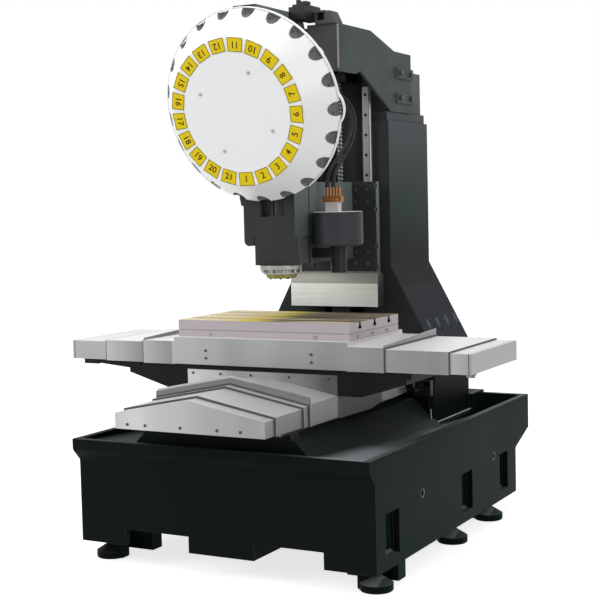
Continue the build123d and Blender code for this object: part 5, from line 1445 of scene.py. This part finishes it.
@dataclass
class Hoses:
    """Two free hoses from the block on the head to the spindle motor.

    All is in metres; the routes are in the frame, from the fitting to the motor's plug.
    """

    radius: float = 0.007
    lengths: tuple[float, float] = (0.767, 0.825)
    first: tuple[Point, ...] = (
        (0.141, -0.0805, 1.3626), (0.140, -0.0775, 1.3930), (0.149, -0.0625, 1.4330),
        (0.167, -0.0345, 1.4730), (0.183, 0.0035, 1.5190), (0.188, 0.0375, 1.5670),
        (0.184, 0.0595, 1.6170), (0.165, 0.0705, 1.6630), (0.133, 0.0715, 1.7010),
        (0.093, 0.0615, 1.7250), (0.059, 0.0375, 1.7290), (0.037, 0.0055, 1.7030),
        (0.030, -0.0145, 1.6550), (0.028, -0.0225, 1.6010), (0.026, -0.0365, 1.5490),
        (0.022, -0.0685, 1.5170), (0.020, -0.1005, 1.5110),
    )
    second: tuple[Point, ...] = (
        (0.167, -0.0805, 1.3626), (0.166, -0.0765, 1.3970), (0.173, -0.0545, 1.4350),
        (0.181, -0.0225, 1.4710), (0.187, 0.0175, 1.5090), (0.191, 0.0535, 1.5570),
        (0.188, 0.0775, 1.6110), (0.171, 0.0895, 1.6630), (0.137, 0.0935, 1.7070),
        (0.091, 0.0835, 1.7390), (0.049, 0.0575, 1.7470), (0.019, 0.0215, 1.7210),
        (0.008, -0.0025, 1.6690), (0.005, -0.0125, 1.6110), (0.004, -0.0305, 1.5550),
        (0.003, -0.0665, 1.5190), (0.002, -0.1005, 1.5110),
    )
    ferrule: float = 0.026
    ferrule_wall: float = 0.0016
    crimp_depth: float = 0.0006

    def line(
        self, name: str, route: tuple[Point, ...], radius: float
    ) -> bpy.types.Object:
        """One hose: a smooth spline with the route's points as its control points.

        Args:
            name: The hose's name.
            route: Its points in metres.
            radius: Its radius in metres, or nought for the bare line.

        Returns:
            The curve, linked to the scene.
        """
        data = bpy.data.curves.new(name, "CURVE")
        data.dimensions = "3D"
        spline = data.splines.new("NURBS")
        spline.points.add(len(route) - 1)
        for point, place in zip(spline.points, route):
            point.co = (*place, 1.0)
        spline.order_u = 3
        spline.use_endpoint_u = True
        spline.resolution_u = 8
        data.bevel_depth = radius
        data.bevel_resolution = 5
        data.use_fill_caps = True
        return link(name, data)

    def centreline(self, route: tuple[Point, ...]) -> np.ndarray:
        """Points that the spline passes, for what sits on a hose.

        Args:
            route: Its control points in metres.

        Returns:
            The points in metres.
        """
        bare = self.line("bare_line", route, 0.0)
        bpy.context.view_layer.update()
        mesh = bpy.data.meshes.new_from_object(bare)
        flat = np.empty(len(mesh.vertices) * 3)
        mesh.vertices.foreach_get("co", flat)
        bpy.data.objects.remove(bare)
        bpy.data.meshes.remove(mesh)
        return flat.reshape(-1, 3)

    def crimp(self, path: np.ndarray) -> Surface:
        """Pressed ferrule over the hose's start: its radius swells and narrows three times.

        Args:
            path: The hose's centreline.

        Returns:
            The ferrule.
        """
        reach = np.concatenate([[0], np.cumsum(np.linalg.norm(np.diff(path, axis=0), axis=1))])
        along = np.linspace(0.0, self.ferrule, 25)
        line = np.stack([np.interp(along, reach, path[:, k]) for k in range(3)], axis=1)
        swell = self.crimp_depth * np.cos(along / self.ferrule * 6 * math.pi)
        return tube(line, self.radius + self.ferrule_wall + swell, (1.0, 0.0, 0.0), 20)

    def build(self) -> None:
        pairs = zip(("hose_inner", "hose_outer"), (self.first, self.second), self.lengths)
        for name, route, length in pairs:
            hose = self.line(name, route, self.radius)
            hose.data.materials.append(BLACK_RUBBER.material())
            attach(hose, "head")
            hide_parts("hoses")
            ends = piece(
                f"{name}_ferrule", [self.crimp(self.centreline(route))], BLACK_OXIDE, "head",
            )
            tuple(route[0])
            LOG.info("%s: %.3f m", name, length)


@dataclass
class Head:
    """Lower end of the spindle head: its flat face plate and the stepped nose. Millimetres."""

    face_y: float = -242.5
    face_z: float = 1075.0
    step_z: float = 1180.0
    plate: tuple[float, float] = (-80.0, 102.0)
    proud: float = 3.0
    plate_depth: float = 12.0
    foot: float = 0.2
    rib: tuple[float, float] = (80.0, 90.0)
    rib_y: tuple[float, float] = (-206.0, -192.0)
    flat_face: float = 1e-9
    spindle_y: float = -197.5
    bore: float = 33.0
    screw_ring: float = 72.5
    screws: int = 10
    spindle_top: float = 280.0

    def casting(self, node: bpy.types.Object) -> None:
        """The casting planed flat in front, with its face plate and the rib beside it.

        Every corner in front of the face is brought back to it, under the plate. Faces that
        lose their area by that are left out.

        Args:
            node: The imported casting.
        """
        planed = merged(node.data)
        corners = planed.corners
        corners[:, 1] = np.maximum(corners[:, 1], self.face_y * MM)
        whole = []
        for face in planed.faces:
            a, b, c = (corners[k] for k in face[:3])
            if np.linalg.norm(np.cross(b - a, c - a)) > self.flat_face:
                whole.append(face)
        planed.faces = whole
        front = self.face_y - self.proud
        foot = self.face_z + self.foot
        low, high = self.plate
        plate = block((low, front, foot), (high, front + self.plate_depth, self.step_z), 1.0)
        low, high = self.rib
        rib = block((low, self.rib_y[0], foot), (high, self.rib_y[1], self.step_z), 1.5)
        made = piece(
            "head_casting_dressed", [planed, plate], HEAD_ENAMEL, "head", 30.0
        )
        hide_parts("head_casting")
        # The rib's lighter painted-steel finish is a painted highlight down the head's corner
        piece("head_rib_highlight", [rib], PAINTED_STEEL, "head")

    def axis(self) -> Matrix:
        """Place of the spindle's axis at the head's lower face.

        Returns:
            Four by four from the spindle to the frame.
        """
        return Matrix.Translation(Vector((0.0, self.spindle_y, self.face_z)) * MM)

    def nose(self) -> None:
        """Stepped nose of the spindle with its cap screws, the ring under it and its jets."""
        place = self.axis()
        steps = turned(
            [(79.0, 0.0), (80.0, -1.2), (80.0, -15.5), (78.6, -17.0), (67.5, -17.0),
             (66.0, -18.5), (66.0, -22.0), (64.6, -23.0), (64.6, -25.0), (66.0, -26.0),
             (66.0, -33.5), (64.5, -35.0), (self.bore, -35.0), (self.bore, 0.0)],
            64,
            True,
        )
        screws = []
        for k in range(self.screws):
            turn = 2 * math.pi * (k + 0.5) / self.screws
            at = Vector((self.screw_ring * math.cos(turn), self.screw_ring * math.sin(turn), 0))
            head = turned([(4.6, -16.5), (5.0, -17.5), (5.0, -27.0), (4.4, -28.0)], 14)
            screws.append(head.moved(place @ Matrix.Translation(at * MM)))
        made = piece(
            "spindle_nose_dressed", [steps.moved(place), *screws], NOSE_ALLOY, "head"
        )
        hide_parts("spindle_nose")
        ring = turned(
            [(self.bore, -35.0), (56.0, -35.0), (57.0, -36.0), (57.0, -45.0), (54.0, -48.0),
             (self.bore, -48.0)],
            56,
            True,
        )
        ball = turned([(0.4, -54.0), (4.6, -51.5), (5.6, -48.0), (4.6, -45.0)], 14)
        jets = [
            ball.moved(place @ Matrix.Translation(Vector((x, y, 0.0)) * MM))
            for x, y in ((-27.0, -36.0), (18.0, -40.0))
        ]
        piece("nose_ring", [ring.moved(place), *jets], NOSE_RING, "head")

    def spindle(self) -> None:
        """Spindle with its steep taper bore and the two keys that drive the tool."""
        place = self.axis()
        r = self.bore - 1.0
        shaft = turned(
            [(22.5, -50.0), (r - 1.0, -50.0), (r, -49.0), (r, self.spindle_top),
             (12.0, self.spindle_top), (12.0, 20.0)],
            48,
            True,
        )
        outline = ((23.5, -8.0), (31.0, -8.0), (31.0, 8.0), (23.5, 8.0))
        keys = [
            prism([(side * x, y) for x, y in outline], -53.0, -49.0).moved(place)
            for side in (-1, 1)
        ]
        made = piece(
            "spindle_dressed", [shaft.moved(place), *keys], NOSE_SHADE, "spindle_body"
        )
        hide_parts("spindle")

    def build(self, nodes: dict[str, bpy.types.Object]) -> None:
        """Builds the head's pieces.

        Args:
            nodes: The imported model's objects by name.
        """
        self.casting(nodes["head_casting"])
        self.nose()
        self.spindle()


@dataclass
class ArmWeld:
    """Weld down the front corner of the fork arm, in millimetres."""

    x: float = 212.0
    y: float = -107.5
    low: float = 1800.0
    high: float = 1960.0
    radius: float = 3.6

    def build(self) -> None:
        """A bead whose radius swells at each pass of the torch."""
        z = np.linspace(self.low, self.high, 120)
        wave = 0.5 * np.sin(z / 2.1) + 0.35 * np.sin(z / 0.83)
        path = np.stack([np.full_like(z, self.x), np.full_like(z, self.y), z], axis=1) * MM
        bead = tube(path, (self.radius + wave) * MM, (0.0, 1.0, 0.0), 8)
        piece("arm_weld", [bead], WELD_STEEL, "base")


@dataclass
class BaseTrim:
    """Blind pockets, lifting holes, foot lugs and sealant on the base. Millimetres."""

    half_width: float = 600.0
    wall: float = 25.0
    pockets: tuple[tuple[float, float], ...] = ((-610.5, -496.5), (80.5, 194.5), (500.5, 598.5))
    pocket_low: float = 117.0
    pocket_high: float = 270.0
    pocket_depth: float = 36.0
    lining: float = 8.0
    sill: float = 9.0
    holes: tuple[float, ...] = (-294.5, 431.5)
    hole_z: float = 277.0
    hole_r: float = 13.0
    sealant: tuple[Point, ...] = (
        (391, 727, 413), (391, 345, 413), (388, 330, 415), (380, 324, 425), (378, 322, 470),
    )
    sealant_r: float = 3.0
    foot_x: float = 546.0
    lugs: tuple[tuple[float, float], ...] = ((-574.5, 62.0), (507.5, 118.0))
    lug_half: float = 24.0
    lug_end: float = 12.0
    lug_low: float = 0.4
    lug_high: float = 56.0

    def pocket(self, side: int, low_y: float, high_y: float) -> Surface:
        """Lining of one pocket: a tray with a sloped sill, its mouth inside the wall.

        Args:
            side: One on the right and minus one on the left.
            low_y: Front edge of the window.
            high_y: Rear edge of the window.

        Returns:
            The lining.
        """
        mouth = self.half_width - self.wall + 1.0
        back = self.half_width - self.pocket_depth
        far = back - self.lining
        levels = ((back, -0.4, self.sill), (mouth, -0.4, 0.4), (mouth, self.lining, -self.lining),
                  (far, self.lining, -self.lining))
        rings = []
        for x, grow, lift in levels:
            near, far_y = low_y - grow, high_y + grow
            low, high = self.pocket_low + lift, self.pocket_high + grow
            rings.append([(side * x, y, z) for y, z in (
                (near, low), (far_y, low), (far_y, high), (near, high)
            )])
        return skin(np.array(rings) * MM)

    def lifting_holes(self) -> None:
        """Drilled ends of the lifting holes, and the machined chamfers at their mouths."""
        r = self.hole_r
        end = turned([(r + 4.0, -38.0), (r + 4.0, -25.5), (r - 0.2, -25.5), (1.5, -33.0)], 24)
        rim = turned(
            [(r - 0.1, -4.0), (r - 0.1, -1.2), (r + 1.6, 0.35), (r + 2.4, 0.35), (r + 2.4, -4.0)],
            32,
            True,
        )
        places = [
            aimed((side * self.half_width, y, self.hole_z), (side, 0, 0))
            for side in (-1, 1)
            for y in self.holes
        ]
        ends = [end.moved(place) for place in places]
        piece("lifting_hole_ends", ends, SHADE_ENAMEL, "base")
        rims = [rim.moved(place) for place in places]
        piece("lifting_hole_chamfers", rims, BRIGHT_ZINC, "base")

    def build(self) -> None:
        """Builds the linings, the ends and chamfers of the holes, the lugs and the sealant."""
        sides = (-1, 1)
        trays = [self.pocket(side, *edges) for side in sides for edges in self.pockets]
        piece("pocket_linings", trays, BASE_ENAMEL, "base")
        self.lifting_holes()
        lugs = []
        for y, reach in self.lugs:
            for side in sides:
                ends = (side * (self.foot_x - reach), side * (self.foot_x - self.lug_end))
                low = (min(ends), y - self.lug_half, self.lug_low)
                high = (max(ends), y + self.lug_half, self.lug_high)
                lugs.append(block(low, high, 4.0))
        piece("foot_lugs", lugs, BASE_ENAMEL, "base")
        bead = tube(smooth_path(list(self.sealant), 60), self.sealant_r * MM, (1.0, 0.0, 0.0), 10)
        piece("pedestal_sealant", [bead], SEALANT, "base")


@dataclass
class CoverTrim:
    """Rubber lips and upstands of the telescopic covers, in millimetres.

    Each lip fills the gap between one cover's mouth and the next cover, and clears the
    one that slides under it.
    """

    table_y: float = -151.5
    lip: float = 3.0
    clear: float = 0.3
    fold: float = 17.0
    fold_y: tuple[float, float] = (-590.4, -587.6)
    upstand_half: float = 239.5
    upstand: tuple[tuple[float, float], ...] = (
        (361.0, 795.0), (363.0, 795.0), (363.0, 797.2), (371.0, 797.2), (371.6, 797.8),
        (371.0, 798.4), (364.2, 798.4), (363.0, 799.6), (363.0, 812.7), (361.0, 812.7),
    )

    def way_section(self, nest: int, grow: float = 0.0) -> Outline:
        """Open section of an X cover, as (y, z): up the front, across, down the back.

        Args:
            nest: Zero for the outermost cover.
            grow: How far the section is grown outwards.

        Returns:
            Its four corners.
        """
        reach = 242.0 - 6.0 * nest + grow
        low = 710.0 + 2.0 * nest
        top = 797.0 - 6.0 * nest + grow
        front, rear = self.table_y - reach, self.table_y + reach
        return [(front, low), (front, top), (rear, top), (rear, low)]

    def gable_section(self, nest: int, grow: float = 0.0) -> Outline:
        """Open section of a gabled Y cover in front, as (x, z).

        Args:
            nest: Its place in the nest, more for a larger cover.
            grow: How far the section is grown outwards.

        Returns:
            Its five corners.
        """
        half, foot = 297 + 6 * nest + grow, 546 - nest
        eave, apex = 601 + 6 * nest + grow, 657 + 7.8 * nest + grow
        return [(-half, foot), (-half, eave), (0.0, apex), (half, eave), (half, foot)]

    def way_lips(self) -> None:
        """Lips of the X covers, on both sides of the table."""
        for name, x, body, nest in (
            ("x_lip_table_right", 504.0, "table_body", 0),
            ("x_lip_middle_right", 742.0, "right_middle_cover", 1),
            ("x_lip_table_left", -504.0, "table_body", 0),
            ("x_lip_middle_left", -682.0, "left_middle_cover", 1),
        ):
            ends = sorted((x, x + math.copysign(self.lip, x)))
            section = self.way_section(nest) + self.way_section(nest + 1, self.clear)[::-1]
            piece(name, [prism(section, *ends, Axis.X)], LIP_RUBBER, body)

    def gable_lips(self) -> None:
        """Lips of the gabled covers in front, and a grey strip over the saddle's hood as painted
        shade.
        """
        for name, y, body, nest in (
            ("y_lip_second", -804.5, "second_front_cover", 1),
            ("y_lip_third", -621.5, "third_front_cover", 2),
            ("y_lip_saddle", -587.5, "saddle_body", 3),
        ):
            section = self.gable_section(nest) + self.gable_section(nest - 1, self.clear)[::-1]
            lip = prism(section, y - self.lip, y, Axis.Y)
            piece(name, [lip], LIP_RUBBER, body)
        roof = self.gable_section(3)[1:4]
        raised = [(x, z + self.fold) for x, z in roof]
        fold = prism(raised + roof[::-1], *self.fold_y, Axis.Y)
        piece("y_lip_shade_band", [fold], LIP_SHADE, "saddle_body")

    def upstands(self) -> None:
        """Folded strip on each inner cover's end: a foot on the roof, and a web up to the table.

        The section is carried along the cover's width.
        """
        ends = (self.table_y - self.upstand_half, self.table_y + self.upstand_half)
        for label, side in (("right", 1.0), ("left", -1.0)):
            sheet = prism([(side * x, z) for x, z in self.upstand], *ends, Axis.Y)
            piece(f"cover_upstand_{label}", [sheet], FOLD_STEEL, "table_body")

    def build(self) -> None:
        """Builds the lips and the upstands."""
        self.way_lips()
        self.gable_lips()
        self.upstands()


@dataclass
class Studio:
    """Pale floor, soft lamps and the camera.

    Places are in metres and angles in degrees. A lamp has its name, place, side and watts.
    """

    place: Point = (2.4002, -4.5052, 1.3063)
    yaw: float = 28.35
    pitch: float = 4.24
    roll: float = -1.37
    lens: float = 78.845
    floor_half: float = 30.0
    floor_glow: float = 0.76
    ambient: float = 0.47
    target: Point = (0.0, -0.2, 0.9)
    lamps: tuple[tuple[str, Point, float, float], ...] = (
        ("top_softbox", (-0.6, -0.8, 5.2), 4.0, 150.0),
        ("left_softbox", (-4.2, -4.6, 3.2), 2.6, 120.0),
        ("right_softbox", (5.2, -2.2, 2.8), 2.4, 70.0),
    )

    def camera(self) -> None:
        """Camera at the photograph's place: forward, right and up worked out from its angles."""
        yaw, pitch, roll = (math.radians(a) for a in (self.yaw, self.pitch, self.roll))
        forward = Vector(
            (-math.sin(yaw) * math.cos(pitch), math.cos(yaw) * math.cos(pitch), -math.sin(pitch))
        )
        level = Vector((math.cos(yaw), math.sin(yaw), 0))
        above = level.cross(forward)
        right = level * math.cos(roll) + above * math.sin(roll)
        up = above * math.cos(roll) - level * math.sin(roll)
        turn = Matrix((right, up, -forward)).transposed().to_4x4()
        data = bpy.data.cameras.new("camera")
        data.lens = self.lens
        data.sensor_width = 36.0
        data.clip_end = 200.0
        made = link("camera", data)
        made.matrix_world = Matrix.Translation(self.place) @ turn
        bpy.context.scene.camera = made

    def seen(self, graph: Graph) -> Socket:
        """One for camera, glossy and transmission rays, nought for the others.

        Args:
            graph: A material's or the world's graph.

        Returns:
            The sum of the three, at most one.
        """
        rays = add(graph.tree, "ShaderNodeLightPath").outputs
        first = graph.calc("ADD", rays["Is Camera Ray"], rays["Is Glossy Ray"], use_clamp=True)
        return graph.calc("ADD", first, rays["Is Transmission Ray"], use_clamp=True)

    def world(self) -> None:
        """White surroundings, at a lower level for the light that they throw."""
        world = bpy.data.worlds.new("surroundings")
        bpy.context.scene.world = world
        world.use_nodes = True
        tree = world.node_tree
        tree.nodes.clear()
        graph = Graph(tree)
        level = graph.span(self.seen(graph), to_low=self.ambient)
        links = {"Color": (1.0, 1.0, 1.0, 1.0), "Strength": level}
        light = add(tree, "ShaderNodeBackground", links)
        add(tree, "ShaderNodeOutputWorld", {"Surface": light.outputs[0]})

    def floor(self) -> None:
        """Pale floor that takes a soft shadow and meets the white background."""
        half = self.floor_half
        mesh = bpy.data.meshes.new("floor")
        corners = [(-half, -half, 0), (half, -half, 0), (half, half, 0), (-half, half, 0)]
        mesh.from_pydata(corners, [], [(0, 1, 2, 3)])
        finish = bpy.data.materials.new("studio_floor")
        finish.use_nodes = True
        tree = finish.node_tree
        tree.nodes.clear()
        paint = add(tree, "ShaderNodeBsdfDiffuse", {"Color": linear("#d8d8d8")})
        graph = Graph(tree)
        lift = graph.calc("MULTIPLY", self.seen(graph), self.floor_glow)
        glow = add(tree, "ShaderNodeEmission", {"Strength": lift})
        both = add(tree, "ShaderNodeAddShader", {0: paint.outputs[0], 1: glow.outputs[0]})
        add(tree, "ShaderNodeOutputMaterial", {"Surface": both.outputs[0]})
        mesh.materials.append(finish)
        link("floor", mesh)

    def lamp(self, name: str, place: Point, size: float, power: float) -> None:
        """A square softbox that faces the machine.

        Args:
            name: The lamp's name.
            place: Where it stands, in metres.
            size: Its side in metres.
            power: Its power in watts.
        """
        data = bpy.data.lights.new(name, "AREA")
        data.size = size
        data.energy = power
        aim = (Vector(self.target) - Vector(place)).to_track_quat("-Z", "Y")
        link(name, data).matrix_world = Matrix.Translation(place) @ aim.to_matrix().to_4x4()

    def build(self) -> None:
        """Sets the stage."""
        self.camera()
        self.world()
        self.floor()
        for lamp in self.lamps:
            self.lamp(*lamp)
        bpy.context.scene.view_settings.view_transform = "Standard"


def main() -> None:
    """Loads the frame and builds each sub-assembly in order."""
    logging.basicConfig(level=logging.INFO, format="%(message)s")
    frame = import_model()
    Studio().build()
    dress_nodes(frame["nodes"])
    Hoses().build()
    Head().build(frame["nodes"])
    ArmWeld().build()
    BaseTrim().build()
    CoverTrim().build()
    Turret().build()


if __name__ == "__main__":
    main()
